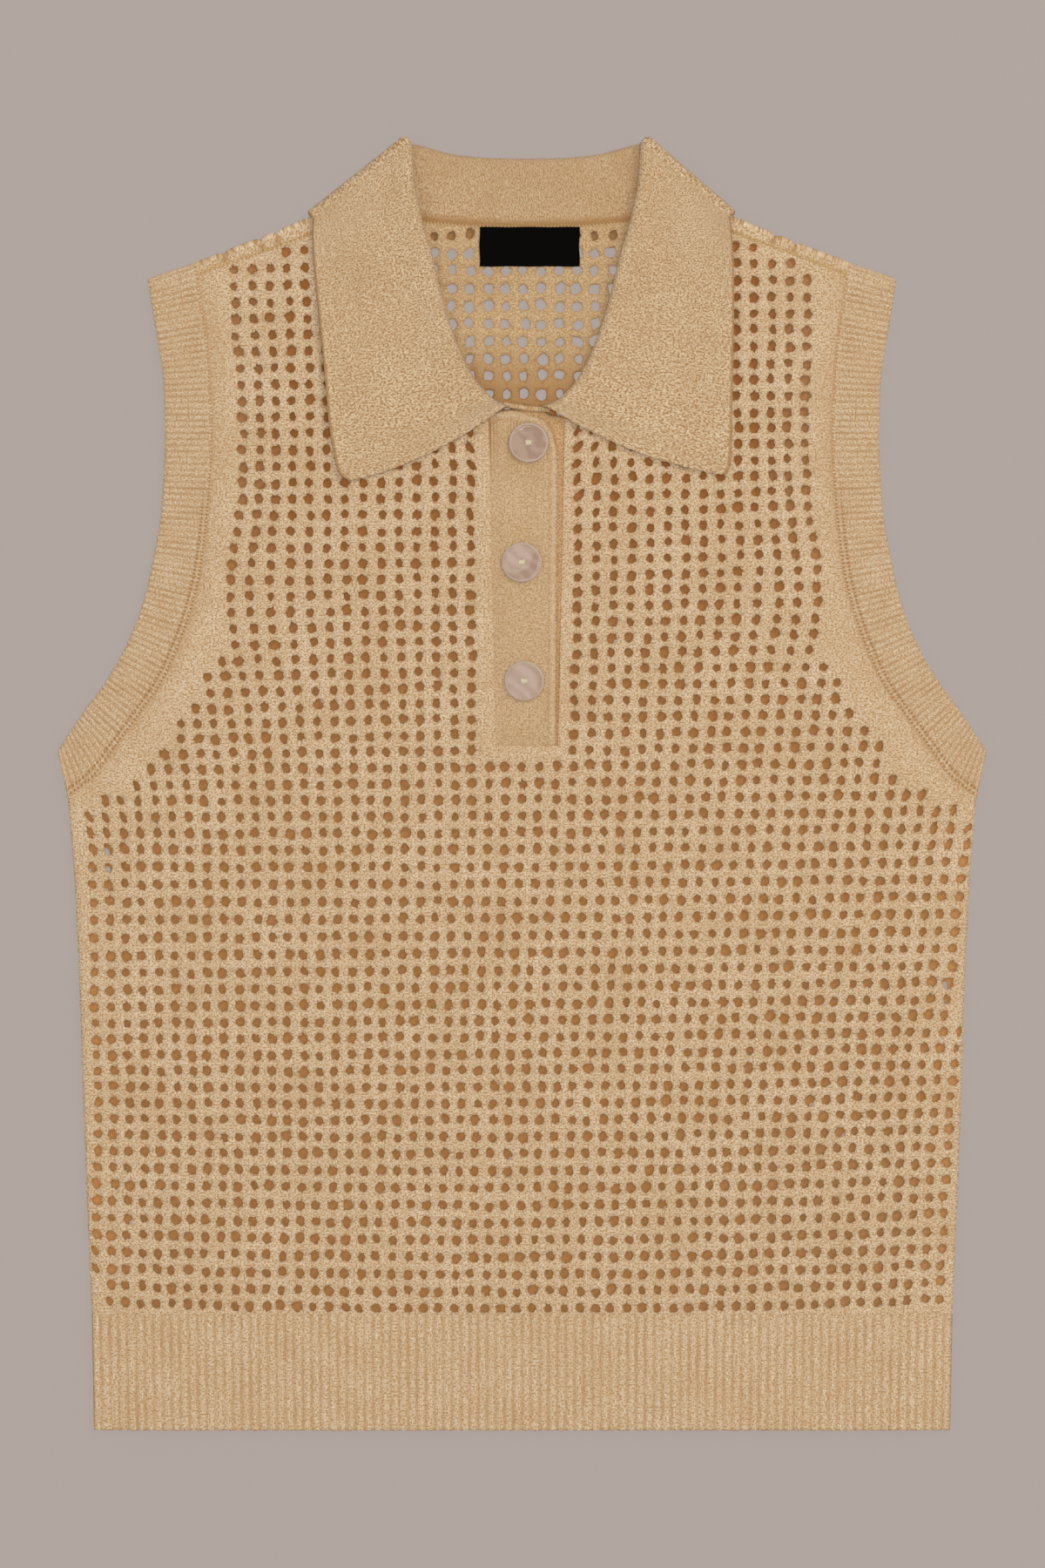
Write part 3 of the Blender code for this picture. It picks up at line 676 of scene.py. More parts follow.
def hole_loops(middle, breadth, lean, sides, generator):
    """Rings of points round each hole, ragged where loops of yarn stick out, and round its lip."""
    count = len(middle)
    steps = np.arange(sides)
    turn = (steps * ROUND / sides)[None] + generator.uniform(-0.9, 0.9, (count, sides)) / sides
    turn = turn + generator.uniform(0.0, 0.8, (count, 1))
    size = generator.uniform(0.86, 1.12, (count, 1))
    ragged = 1.0 + generator.uniform(-RAGGED, RAGGED, (count, sides))
    spiked = generator.uniform(-0.02, 0.1, (count, 1)) * np.where(steps % 2 == 0, -1.0, 1.0)
    wide = breadth[:, None] * generator.uniform(0.86, 1.1, (count, 1))
    tilt, stretch = (item[:, None] for item in lean(middle))
    middle = middle + generator.normal(0.0, HOLE_JITTER, (count, 2)) * wide
    tilt = tilt + generator.normal(0.0, 0.14, (count, 1))
    wide = wide / stretch

    def ring(turn, reach, low):
        flat_x = np.cos(turn) * reach * wide
        flat_y = np.sin(turn) * reach * HOLE_TALL * stretch
        x = middle[:, None, 0] + flat_x * np.cos(tilt) - flat_y * np.sin(tilt)
        y = middle[:, None, 1] + flat_x * np.sin(tilt) + flat_y * np.cos(tilt)
        return np.stack([x, np.maximum(y, low)], -1)

    even = generator.uniform(0.0, 1.0, (count, 1)) + np.arange(LIP_SIDES) * ROUND / LIP_SIDES
    around = HOLE_RADIUS * size * 1.06 + LIP / np.maximum(wide, 0.7)
    hole = ring(turn, HOLE_RADIUS * size * (ragged + spiked), LOWEST_HOLE)
    return hole, ring(even, around, LOWEST_HOLE - 0.4)


def clear_of_holes(points, rings):
    """Which points are outside every ring of points, and not close to one."""
    around = rings[nearest(points, rings.mean(axis=1))[0]]
    edge = np.concatenate([around, mix(around, np.roll(around, -1, axis=1), 0.5)], axis=1)
    gap = np.linalg.norm(edge - points[:, None], axis=2).min(axis=1)
    return ~within(points, around) & (gap > 0.3)


def triangles(points, loops):
    """Triangles between points that keep each loop's edges, without those outside the first
    loop or inside the others."""
    edges, owner = [], np.full(len(points), -1)
    for k, loop in enumerate(loops):
        owner[loop] = k
        edges += list(zip(loop.tolist(), np.roll(loop, -1).tolist()))
    made = geometry.delaunay_2d_cdt([Vector(p) for p in points], edges, [], 0, 1e-6, True)
    names = [origin[0] for origin in made[3]]
    faces = np.array([[names[p] for p in face] for face in made[2]])
    centre = points[faces].mean(axis=1)
    owners = owner[faces]
    alone = (owners[:, 0] == owners[:, 1]) & (owners[:, 1] == owners[:, 2])
    outer = np.flatnonzero(alone & (owners[:, 0] == 0))
    holes = np.flatnonzero(alone & (owners[:, 0] > 0))
    drop = np.zeros(len(faces), bool)
    drop[outer] = ~within(centre[outer], points[loops[0]])
    rings = np.array([points[loop] for loop in loops[1:]])
    drop[holes] = within(centre[holes], rings[owners[holes, 0] - 1])
    return faces[~drop]


def shrunk(outline, by):
    """Points a little inside a closed outline that runs anticlockwise, clear of its corners."""
    ahead = unit(np.roll(outline, -1, axis=0) - np.roll(outline, 1, axis=0))
    moved = outline + by * np.stack([-ahead[:, 1], ahead[:, 0]], -1)
    return moved[within(moved, outline) & (distance(moved, outline) > 0.8 * by)]


def make_net(name, node, outline, cells, lean, inner, outer, shows, facing, sides, seed, finish):
    """A wall with a net of holes.

    outline is the panel's plan, cells what net_cells gives, lean how holes lean and stretch,
    inner and outer the z of its faces, shows how far the inner face is seen, from 0 to 1, and
    facing is 1 where the outer face looks up and -1 where it looks down.
    """
    middle, corner, breadth = cells
    holed = breadth > 0.0
    generator = np.random.default_rng(seed)
    rings, lips = hole_loops(middle[holed], breadth[holed], lean, sides, generator)
    sideways = np.abs((lips - lips.mean(axis=1, keepdims=True))[..., 0]).ravel()
    lips = lips.reshape(-1, 2)

    def clear(points, margin):
        far = within(points, outline) & (distance(points, outline) > margin)
        return far & clear_of_holes(points, rings)

    free = clear(lips, 0.4)
    lips, sideways = lips[free], sideways[free]
    corner, plain, inset = corner[clear(corner, 1.3)], middle[~holed], shrunk(outline, 1.5)
    plain, inset = (group[clear_of_holes(group, rings)] for group in (plain, inset))
    groups = (outline, rings.reshape(-1, 2), lips, inset, corner, plain)
    points = np.concatenate(groups)
    x, y = points.T
    kind = np.repeat(range(len(groups)), [len(group) for group in groups])
    loops = [np.flatnonzero(kind == OUTLINE), *np.flatnonzero(kind == HOLE).reshape(-1, sides)]
    top = triangles(points, loops)
    seen = shows(x, y)
    both = (seen > 0.0) | ((kind != LIP_RING) & (kind != INSET))
    index, rank = np.flatnonzero(both), np.cumsum(both) - 1
    low = index[triangles(points[index], [rank[loop] for loop in loops])]

    loose = (np.abs(x) > body_half(y) - 0.5) & (y < SIDE_TOP)
    edges = [(kind == OUTLINE) & loose, kind == OUTLINE, kind == HOLE]
    drop = np.select(edges, [EDGE_DROP, SEAM_DROP, HOLE_DROP], 0.0)
    drop[kind == LIP_RING] += np.maximum(0.2 - 0.08 * sideways, 0.0)
    upper = with_z(points, outer(x, y) - facing * drop)
    lower = with_z(points, inner(x, y) + facing * seen * np.where(kind == HOLE, 0.5, 0.0))
    below = (rank + len(points)).tolist()
    faces = [tuple(face) for face in top.tolist()]
    rim = rim_faces(faces, lambda p: below[p])
    faces += [tuple(below[p] for p in face[::-1]) for face in low.tolist()] + rim
    if facing < 0:
        faces = [face[::-1] for face in faces]
    # Painted shade: the outline and the holes' rims are painted golden, the lips above and below each hole
    # more than those beside it, and the rims on the inner face more where that face is hidden.
    deep = np.select([kind == OUTLINE, kind == HOLE, kind == PLAIN], [0.1, 0.33, 0.03], 0.0)
    deep[kind == LIP_RING] = np.maximum(0.2 - 0.07 * sideways, 0.02)
    under = np.where(kind == HOLE, 0.6 - 0.35 * seen, 0.0)
    points = np.concatenate([upper, lower[index]])
    painted_shading = np.concatenate([deep, under[index]])
    return make_piece(name, points, faces, points[:, :2], painted_shading, finish, "openwork_knit", node)


def side_line(side, high):
    """A panel's side edge, which wavers a little below the armhole."""
    low = HEM_HEIGHT + MEET
    heights = np.linspace(low, high, max(int((high - low) / 2.0), 2))
    waver = SIDE_WAVER * waves(heights, np.full(len(heights), side * 9.0), 3.1, 2.0)
    waver = waver * ease((heights - low) / 3.0) * ease((SIDE_TOP - heights) / 6.0)
    return np.stack([side * (body_half(heights) + waver), heights], -1)


def closed_steps(line):
    """A closed outline with its corners kept and its long edges cut into steps."""
    made = []
    for a, b in zip(line, np.roll(line, -1, axis=0)):
        count = max(int(math.hypot(*(b - a)) / OUTLINE_STEP), 1)
        made += [mix(a, b, k / count) for k in range(count)]
    return np.array(made)


def slot_line(rise=0.0):
    """The placket's slot, from its head on the right round its foot to its head on the left."""
    right = [(SLOT_RIGHT[1], SLOT_HEAD + rise), (SLOT_RIGHT[0], SLOT_FOOT)]
    return right + [(SLOT_LEFT[0], SLOT_FOOT), (SLOT_LEFT[1], SLOT_HEAD + rise)]


def front_outline():
    """The front panel's plan, anticlockwise from the right end of its hem seam."""
    seam = np.linspace(0.0, 1.0, 30)[:, None]
    halves = []
    for side in SIDES:
        neck = neck_line(side, FRONT_NECK[SEAM_ROW:1:-1])
        halves.append(np.concatenate([side_line(side, SHOULDER_SEAM_OUT), shoulder_seam(side, seam), neck]))
    left, right = halves
    line = np.concatenate([right, slot_line(), left[::-1]])
    apart = np.linalg.norm(np.diff(line, axis=0), axis=1) > 1e-6
    return closed_steps(line[np.append(True, apart)])


def back_outline():
    """The back panel's plan up to the shoulder's fold and the neck's seam."""
    left, right = (shoulder_fold(side)[1:] + neck_line(side, BACK_NECK) for side in SIDES)
    left_side, right_side = (side_line(side, ARMHOLE_TOP[1]) for side in SIDES)
    return closed_steps(np.concatenate([right_side, right, left[-2::-1], left_side[::-1]]))


def seam_margins():
    """The hem's and the armholes' seams, and how far holes keep from them."""
    hem = spaced([(-HEM_REACH, HEM_HEIGHT), (HEM_REACH, HEM_HEIGHT)], 2.0)
    armholes = [(armhole_line(side), MARGINS["armhole"]) for side in SIDES]
    return armholes + [(hem, MARGINS["hem"])]


def fan(middle):
    """How holes lean, and how drawn out they are: their tops point outwards, more so far from
    the middle and most by the placket's head."""
    x, height = middle[:, 0], middle[:, 1]
    by_side = 0.42 * (x / 210.0) * np.abs(x / 210.0)
    near = bell(np.maximum(np.abs(x - 2.0) - 25.0, 0.0), FAN_REACH) * ease((height - 410.0) / 70.0)
    by_neck = 0.66 * np.sign(x - 2.0) * near
    pulled = bell(body_half(height) - np.abs(x) - 12.0, 22.0) * bell(height - 300.0, 26.0)
    return -(by_side + by_neck), 1.0 + 0.36 * near + 0.34 * pulled


def make_front(finish):
    outline = front_outline()
    margins = seam_margins() + [(spaced(slot_line(8.0)[::-1], 1.5), MARGINS["slot"])]
    for side in SIDES:
        line = armhole_line(side)
        curved = (line[:, 1] > UNDERARM[0]) & (line[:, 1] < UNDERARM[1])
        seam = spaced([shoulder_seam(side, 0.0), shoulder_seam(side, 1.0)], 2.0)
        neck = spaced(neck_line(side, FRONT_NECK[2:]), 2.0)
        margins.append((line[curved], MARGINS["underarm"]))
        margins += [(seam, MARGINS["shoulder"]), (neck, MARGINS["front neck"])]

    def outer(x, height):
        near = ease((body_half(height) - np.abs(x)) / LOFT_REACH)
        return front_top(x, height) + 0.3 * near * waves(x, height, 46.0, 3.0)

    def unseen(x, height):
        return np.zeros(len(x))

    cells = net_cells(front_place, outline, margins)
    form = (outline, cells, fan, front_inside, outer, unseen, 1)
    front = make_net("front_net", "front_panel", *form, *FRONT_HOLES, finish)
    x, height, _ = places_of(front)
    # Painted shade on the net beside the armhole bands and beside the placket's slot.
    by_band = bell(np.maximum(body_half(height) - np.abs(x), 0.0), 10.0) * ease((height - 296.0) / 12.0)
    by_slot = bell(np.maximum(np.abs(x - NECK_X) - 17.0, 0.0), 9.0) * ease((height - 322.0) / 10.0)
    add_painted_shade(front, 0.25 * np.maximum(by_band, 0.6 * by_slot))
    return front


def neck_opening(x, height):
    """1 where the neck's opening shows the back, fading to 0 under the front and the collar."""
    rows = sorted((row[3], row[2]) for row in FRONT_NECK)
    half = np.interp(height, [row[0] for row in rows], [row[1] for row in rows])
    across = ease((half + 4.0 - np.abs(x - NECK_X)) / 5.0)
    return across * ease((height - 481.0) / 5.0)


def make_back(finish):
    outline = back_outline()
    margins = seam_margins()
    for side in SIDES:
        margins.append((spaced(shoulder_fold(side), 2.0), MARGINS["fold"]))
        margins.append((spaced(neck_line(side, BACK_NECK), 2.0), MARGINS["back neck"]))

    def stretched(middle):
        """Where the net is drawn open at the neck."""
        x, height = middle[:, 0], middle[:, 1]
        return neck_opening(x, height) * ease((572.0 - height) / 3.0) * ease((height - 494.0) / 4.0)

    def upright(middle):
        return -0.16 * ease((middle[:, 0] - 10.0) / 30.0), 1.0 + 0.12 * stretched(middle)

    middle, corner, breadth = net_cells(back_place, outline, margins)
    cells = (middle, corner, breadth * (1.0 + 0.32 * stretched(middle)))
    form = (outline, cells, upright, back_inside, lift, neck_opening, -1)
    back = make_net("back_net", "back_panel", *form, *BACK_HOLES, finish)
    x, height, z = places_of(back)
    shown = neck_opening(x, height)
    inside = z > 1.2 + lift(x, height)
    # Painted shade on the back's inner face where the front covers it: full near the top's middle, weaker at
    # the top's outer parts and low down on the right.
    shade = 0.88 + ease((height - 400.0) / 60.0) * (0.12 - 0.3 * ease((np.abs(x) - 108.0) / 22.0))
    shade -= 0.2 * bell(np.hypot(x - 165.0, height - 95.0), 70.0)
    mark(back.data, "covered_shade", (1.0 - shown) * inside * shade)
    # Painted shade on the net that the neck's opening shows, darker towards the bottom of the opening.
    add_painted_shade(back, shown * inside * (0.13 + 0.42 * ease((536.0 - height) / 44.0)))
    return back


def make_strip(side, finish):
    """The strip of the back that goes over the shoulder to the seam on the front."""
    top = spaced(shoulder_fold(side), 1.3)
    ends = shoulder_seam(side, np.linspace(0.0, 1.0, len(top))[:, None]) + (0.0, MEET)
    dips = np.max([bell(top[:, 0] - x, DIP_HALF) for x in DIPS[side]], axis=0)

    def dipped(points, share):
        points[:, 1] -= DIP * dips * share
        return points

    turns = np.linspace(-90.0, 90.0, 11)
    rows = [dipped(around_fold(top, turn), ease((turn + 90.0) / 60.0)) for turn in turns]
    rows += [dipped(on_front(mix(top, ends, t)), ease(1.0 - t / 0.7)) for t in (0.25, 0.5, 0.75, 1.0)]
    grid = np.array(rows[::-1] if side < 0 else rows)
    along, around = np.meshgrid(lengths(top), lengths(grid[:, 3]))
    left, below = along[0, -1] - along, around[-1, 0] - around
    twist = np.sin((along + side * 0.55 * around) * ROUND / TWIST)
    bumps = 0.28 * twist + 0.3 * waves(along, around, 3.3, 41.0)
    ends_flat = ease(left / 3.0) * ease(along / 3.0) * ease(below / 1.5)
    thick = WALL + bumps * ends_flat * ease((around - 1.0) / 2.0)
    thick -= 1.3 * dips[None] * ease((around - 2.0) / 2.0) * ease((below - 3.0) / 2.0)
    outer = grid + outward(grid) * thick[..., None]
    # Painted shade in the twist's grooves and in the open loops at the fold.
    painted_shading = 0.14 * (1.0 - twist) * ends_flat + 0.4 * dips[None]
    name = {-1: "shoulder_strip_left", 1: "shoulder_strip_right"}[side]
    knit = np.stack([along, around], -1)
    return wall_of(name, outer, grid, knit, painted_shading, finish, "openwork_knit", "back_panel")


# Ribbed pieces.


def rib_columns(count):
    """Places across a ribbed piece as shares of its ribs, with how raised each is."""
    phases, raised = np.array(RIB_PHASES).T
    places = np.add.outer(np.arange(count), phases).ravel()
    return np.append(places, count), np.append(np.tile(raised, count), 0.0)


def make_hem(name, facing, finish, node):
    """A ribbed hem. facing is 1 for the front's and -1 for the back's, whose furrows are cut
    upwards so that its ridges rest flat."""
    places, raised = rib_columns(HEM_RIBS)
    middle = np.linspace(1.8, HEM_HEIGHT - 1.4, 28)
    heights = np.concatenate([[0.0, 0.35, 0.9], middle, [HEM_HEIGHT - 0.5, HEM_HEIGHT]])
    rib, height = np.meshgrid(places, heights)
    each = np.floor(rib + 0.5)
    half = body_half(height)
    share = np.clip((rib + 0.11 * waves(each * 9.0, height, 7.0, 5.0 + facing)) / HEM_RIBS, 0.0, 1.0)
    share[:, 0], share[:, -1] = 0.0, 1.0
    x = half * (2.0 * share - 1.0)
    furrow = (1.0 - raised) * (0.74 + 0.22 * waves(each * 5.0, height, 16.0, 9.0))
    side_gap = half - np.abs(x)
    from_end = np.minimum(height, 3.0 * (HEM_HEIGHT - height))
    edge = np.where(height < HEM_HEIGHT / 2, 1.0, 0.15) * rounded(from_end, 1.2)
    edge = np.maximum(edge, rounded(side_gap, 2.0))
    if facing > 0:
        inside = front_inside(x, height)
        swell = 0.25 * ease(side_gap / 12.0) * waves(x, height, 30.0, 4.0)
        top = inside + WALL + 0.45 + swell - RIB * furrow
        top = np.minimum(top, inside + WALL + RIB) - 1.4 * edge
    else:
        inside = back_inside(x, height)
        top = RIB * furrow + 1.4 * edge
    uneven = 0.3 * raised + 0.25 * waves(rib, height * 0.0, 0.7, 6.0)
    placed = height - np.clip(1.0 - height / 3.0, 0.0, 1.0) * uneven
    knit = np.stack([rib * 2.0 * WALE, height], -1)
    # The fifth grid paints shade in the furrows and on the rounded edges.
    grids = (x, placed, top, inside, 0.48 * furrow + 0.12 * edge, knit)
    *grids, knit = (grid[:, ::facing] for grid in grids)
    return wall_over(name, *grids, finish, "rib_knit", node, knit=knit)


def band_plans(side, rows, raised):
    """Plans across a band at rows of its seam and edge, where ribs stick out of the edge."""
    t = BAND_ACROSS + 0.026 * (raised[:, None] - 0.5) * (BAND_ACROSS > 0.9)
    return mix(rows[:, None, :2], rows[:, None, 2:], t[..., None]) * (side, 1)


def make_band(side, finish):
    """An armhole band, from the underarm up the front, over the shoulder and down the back."""
    places, raised = rib_columns(BAND_RIBS)
    length = places / BAND_RIBS * ARMHOLE_LENGTH
    rows = flow(length, ARMHOLE_AT, ARMHOLE_ROWS)
    plans = band_plans(side, rows, raised)
    last = band_plans(side, rows[-1:], np.array([0.5]))[0]
    turns = np.linspace(90.0, -90.0, 13)[1:-1]
    over = [around_fold(last, turn) for turn in turns]
    grid = np.concatenate([on_front(plans), over, on_back(plans[::-1])])
    count = len(rows)
    up = np.concatenate([raised, np.full(len(turns), 0.6), raised[::-1]])
    fold = length[-1] + 0.9 * np.arange(1, len(turns) + 1)
    along = np.concatenate([length, fold, fold[-1] + length[1] * np.arange(1, count + 1)])[:, None]
    across = BAND_ACROSS
    if side > 0:
        grid, across = grid[:, ::-1], across[::-1]
    normal = -outward(grid)
    normal[:count], normal[-count:] = (0.0, 0.0, 1.0), (0.0, 0.0, -1.0)
    dies = ease(across / 0.1) * ease((1.04 - across) / 0.1)
    uneven = 0.78 + 0.3 * waves(*np.meshgrid(across * 4.0, np.arange(len(up)) / 6.0), 1.7, 13.0)
    furrow = (1.0 - up)[:, None] * (0.25 + 0.75 * dies)[None] * uneven
    edge = np.maximum(rounded((1.0 - across) * BAND_WIDTH, 1.6), 0.14 * rounded(across * BAND_WIDTH, 0.8))
    pits = np.zeros(furrow.shape)
    beat = 0.5 + 0.5 * np.cos(along * ROUND / PIT_PITCH)
    for at, fades in PIT_ROWS:
        fade = 1.0 - fades * ease((along - 130.0) / 60.0)
        fade = np.where(along > ARMHOLE_LENGTH, 0.0, fade)
        pits = np.maximum(pits, beat * fade * bell(across - at, 0.036))
    thick = WALL - RIB * furrow - 1.4 * edge - 0.45 * pits
    thick[:count] += 0.35
    stitches = along[:, 0] * (BAND_RIBS * 2.0 * WALE / ARMHOLE_LENGTH)
    courses, wales = np.meshgrid(across * BAND_WIDTH, stitches)
    knit = np.stack([wales, courses], -1)
    # Painted shade in the furrows, in the pits along the seam and on the rounded edges.
    painted_shading = np.maximum(0.46 * furrow, 0.95 * pits) + 0.12 * edge
    outer = grid + normal * thick[..., None]
    name, node = {-1: ("band_left", "armhole_band_left"), 1: ("band_right", "armhole_band_right")}[side]
    return wall_of(name, outer, grid, knit, painted_shading, finish, "rib_knit", node)


# The collar.


def collar_stations(side):
    """Rows of seam, roll and leaf edge in plan, turn about the shoulder's fold, and bow."""
    rows = []
    for table, leaf, turn in ((FRONT_NECK, 4 if side < 0 else 6, 90.0), (BACK_NECK, 4, -90.0)):
        plans = np.hstack([neck_line(side, table, column) for column in (0, 2, leaf)])
        bows = [row[8] if len(row) > 8 else 0.0 for row in table]
        rows.append([[*plan, turn, bow] for plan, bow in zip(plans, bows)])
    fold = [[*np.hstack(fold_places(side)), turn, 0.0] for turn in FOLD_TURNS]
    return np.array(rows[0] + fold + rows[1])


def fine_stations(side):
    """The stations a step apart, and how far along the leaf's edge each is."""
    rows = collar_stations(side)
    moves = np.abs(np.diff(rows, axis=0))
    leaf = np.hypot(moves[:, 4], moves[:, 5])
    roll = np.hypot(moves[:, 2], moves[:, 3])
    turn = moves[:, 6] / 180.0 * math.pi * LAYER * 0.9
    at = np.concatenate([[0.0], np.cumsum(np.maximum(np.maximum(leaf, roll), turn))])
    places = np.concatenate([[0.0, 0.35, 0.8], np.linspace(1.5, at[-1], int(at[-1] / COLLAR_STEP))])
    return [(row, place, side) for row, place in zip(flow(places, at, rows), places)]


def collar_section(station, at, side, face):
    """Points across the collar, up the stand, round the roll and down the leaf, on one face."""
    seam, roll, leaf = station[0:2], station[2:4], station[4:6]
    turn, bow = math.radians(station[6]), station[7]
    half_wall = face * WALL / 2 * (1.0 - 0.6 * float(rounded(at, 1.5)))
    in_front = max(math.sin(turn), 0.0)
    along = float(np.linalg.norm(leaf - roll))
    down, up = unit(leaf - roll), unit(roll - seam)
    ahead = unit(up - down)
    out = np.array([-down[1] * side, down[0] * side])
    out = out if out[1] > 0 else -out

    def spacing(from_roll):
        puff = ROLL_PUFF * in_front * (1.0 - ease(from_roll / ROLL_REACH))
        return LAYER + LEAF_SLACK * in_front + puff

    def over_placket(x):
        half, fade = OVER_PLACKET
        return PLACKET_STEP * in_front * ease((half - np.abs(x)) / fade)

    radius = float(spacing(0.0)) / 2
    middle = roll - ahead * radius
    stand = mix(seam + up * MEET, middle, STAND_STEPS[:, None])
    stand_off = np.where(STAND_STEPS == 0.0, -0.6 * half_wall, -half_wall)
    reach = radius + half_wall
    bent = middle + ahead * (reach * np.cos(ROLL_BENDS))[:, None]
    rise = float(over_placket(middle[0])) * (ROLL_BENDS / math.pi + 0.5)
    bent_off = radius + rise + reach * np.sin(ROLL_BENDS)
    steps, down_leaf = LEAF_STEPS[:, None], LEAF_STEPS * along
    teeth = TOOTH * math.sin(at * ROUND / TEETH)
    plan = mix(middle, leaf, steps) + down * teeth * np.maximum(steps - 0.9, 0.0) * 10.0
    plan[:, 1] -= bow * 4.0 * LEAF_STEPS * (1.0 - LEAF_STEPS)
    plan[:, 1] += TOOTH * np.sin(down_leaf * ROUND / TEETH) * max(1.0 - at / 2.0, 0.0)
    thick = half_wall * (1.0 - 0.6 * rounded((1.0 - LEAF_STEPS) * along, 1.5))
    curl = LEAF_CURL * in_front * (side < 0) * ease((down_leaf - along + CURL_REACH) / CURL_REACH)
    leaf_off = spacing(down_leaf) + over_placket(plan[:, 0]) + curl + thick
    plans = np.concatenate([stand, bent, plan])
    low = back_inside(plans[:, 0], plans[:, 1]) - WALL / 2
    high = front_top(plans[:, 0], plans[:, 1]) - WALL / 2
    reach = (high - low) / 2 + np.concatenate([stand_off, bent_off, leaf_off])
    plans = plans + (reach * math.cos(turn))[:, None] * out
    return with_z(plans, (low + high) / 2 + reach * math.sin(turn))


def make_collar(finish):
    """The collar, from the left front round the back of the neck to the right front."""
    left, right = (fine_stations(side) for side in SIDES)
    order = left + right[-2::-1]
    outer, inner = (np.array([collar_section(*place, face) for place in order]) for face in (1, -1))
    total = left[-1][1] + right[-1][1]
    along = [at if side < 0 else total - at for _, at, side in order]
    knit = np.stack(np.meshgrid(lengths(outer[len(left) // 3]), along), -1)
    painted_shading, stand = np.zeros(outer.shape[:2]), np.zeros(outer.shape[:2])
    # Painted shade along the neck's seam and along the leaves' edges.
    painted_shading[:, :2], painted_shading[:, -3:] = 0.5, 0.42
    # The stand, up to the middle of the roll, and the whole inner face are marked for the collar's painted
    # shade.
    stand[:, : len(STAND_STEPS) + len(ROLL_BENDS) // 2] = 1.0
    collar = wall_of("collar_knit", outer, inner, knit, painted_shading, finish, "collar_knit", "collar")
    mark(collar.data, "inside", np.append(stand, np.ones(stand.size)))
    return collar


# The placket, buttons and label.


def make_placket(finish):
    """The upper placket, with a rolled loose edge that goes round its top corner."""
    head = np.array(PLACKET_HEAD)
    foot = SLOT_FOOT + MEET
    columns = np.concatenate([np.linspace(0.0, 0.85, 38), np.linspace(0.865, 1.0, 15)])
    shares = np.concatenate([[0.0, 0.004], np.linspace(0.01, 0.985, 110), [0.992, 0.997, 1.0]])
    column, share = np.meshgrid(columns, shares)
    left = mix(SLOT_LEFT[0] + MEET, head[0, 0], share)
    x = mix(left, mix(*PLACKET_RIGHT, share), column)
    tops = flow(mix(head[0, 0], head[-1, 0], columns), head[:, 0], head[:, 1])
    height = foot + share * (tops - foot)
    loose = spaced(np.concatenate([[(PLACKET_RIGHT[0], foot)], head[::-1]]), 0.6)
    from_loose = distance(np.stack([x.ravel(), height.ravel()], -1), loose).reshape(x.shape)
    sewn = np.minimum(x - left, height - foot)
    edge = np.maximum(rounded(from_loose, 1.3), 0.16 * rounded(sewn, 0.7))
    bead = np.clip(1.0 - ((from_loose - BEAD / 2) / (BEAD / 2)) ** 2, 0.0, 1.0)
    beside = bell(from_loose - BEAD - 0.3, 0.55)
    wale = 0.5 + 0.5 * np.cos((x - left) * ROUND / 1.6)
    groove = (1.0 - wale) ** 2 * ease((height - 440.0) / 40.0) * (from_loose > BEAD + 1.0)
    low = UNDER_TOP + GAP
    middle = low + WALL + 0.22 * waves(x, height, 24.0, 8.0) - 0.16 * beside - 0.3 * groove + 0.4 * bead
    top = mix(front_top(x, height), middle, ease(sewn / 6.0)) - 1.35 * edge
    # Painted shade along the sewn seams, in the grooves, beside the bead and on the rounded edges, and a
    # painted highlight on the bead.
    seams = 0.6 * bell(x - left, 0.7) * ease((height - 462.0) / 20.0) + 0.2 * bell(height - foot, 0.7)
    painted_shading = 0.6 * groove + 0.3 * beside + 0.12 * edge + seams - 0.3 * bead
    return wall_over("placket_over", x, height, top, low, painted_shading, finish, "collar_knit", "placket_upper")


def make_under_placket(finish):
    columns = np.concatenate([np.linspace(0.0, 0.85, 15), np.linspace(0.865, 1.0, 9)])
    rows = np.concatenate([[0.0], np.linspace(0.007, 0.994, 90), [1.0]])
    column, share = np.meshgrid(columns, rows)
    right = mix(*SLOT_RIGHT, share) - MEET
    x = mix(UNDER_LEFT, right, column)
    head = UNDER_HEAD + UNDER_RISE * ease((15.0 - x) / 7.0)
    height = mix(SLOT_FOOT + MEET, head, share)
    edge = np.maximum(0.3 * rounded(right - x, 1.2), rounded(head - height, 1.2))
    top = UNDER_TOP + 0.7 * ease(1.0 - (right - x) / 2.5) - 1.2 * edge + 0.1 * waves(x, height, 6.0, 12.0)
    # Painted shade all over, where it lies under the upper placket, and more on its rounded edges.
    painted_shading = 0.1 + 0.3 * edge
    return wall_over("placket_below", x, height, top, LAYER, painted_shading, finish, "collar_knit", "placket_under")


def make_neck_roll(finish):
    """The rolled edge of the yarn where the collar's ends meet, under the upper placket's head."""
    line = spaced(NECK_ROLL, 0.9)
    path = with_z(line, UNDER_TOP + 0.7 + 0.12 * waves(line[:, 0], line[:, 1], 1.3, 3.0))
    return join_tubes("neck_roll", [tube(path, 1.3, 12)], finish, "collar_knit")


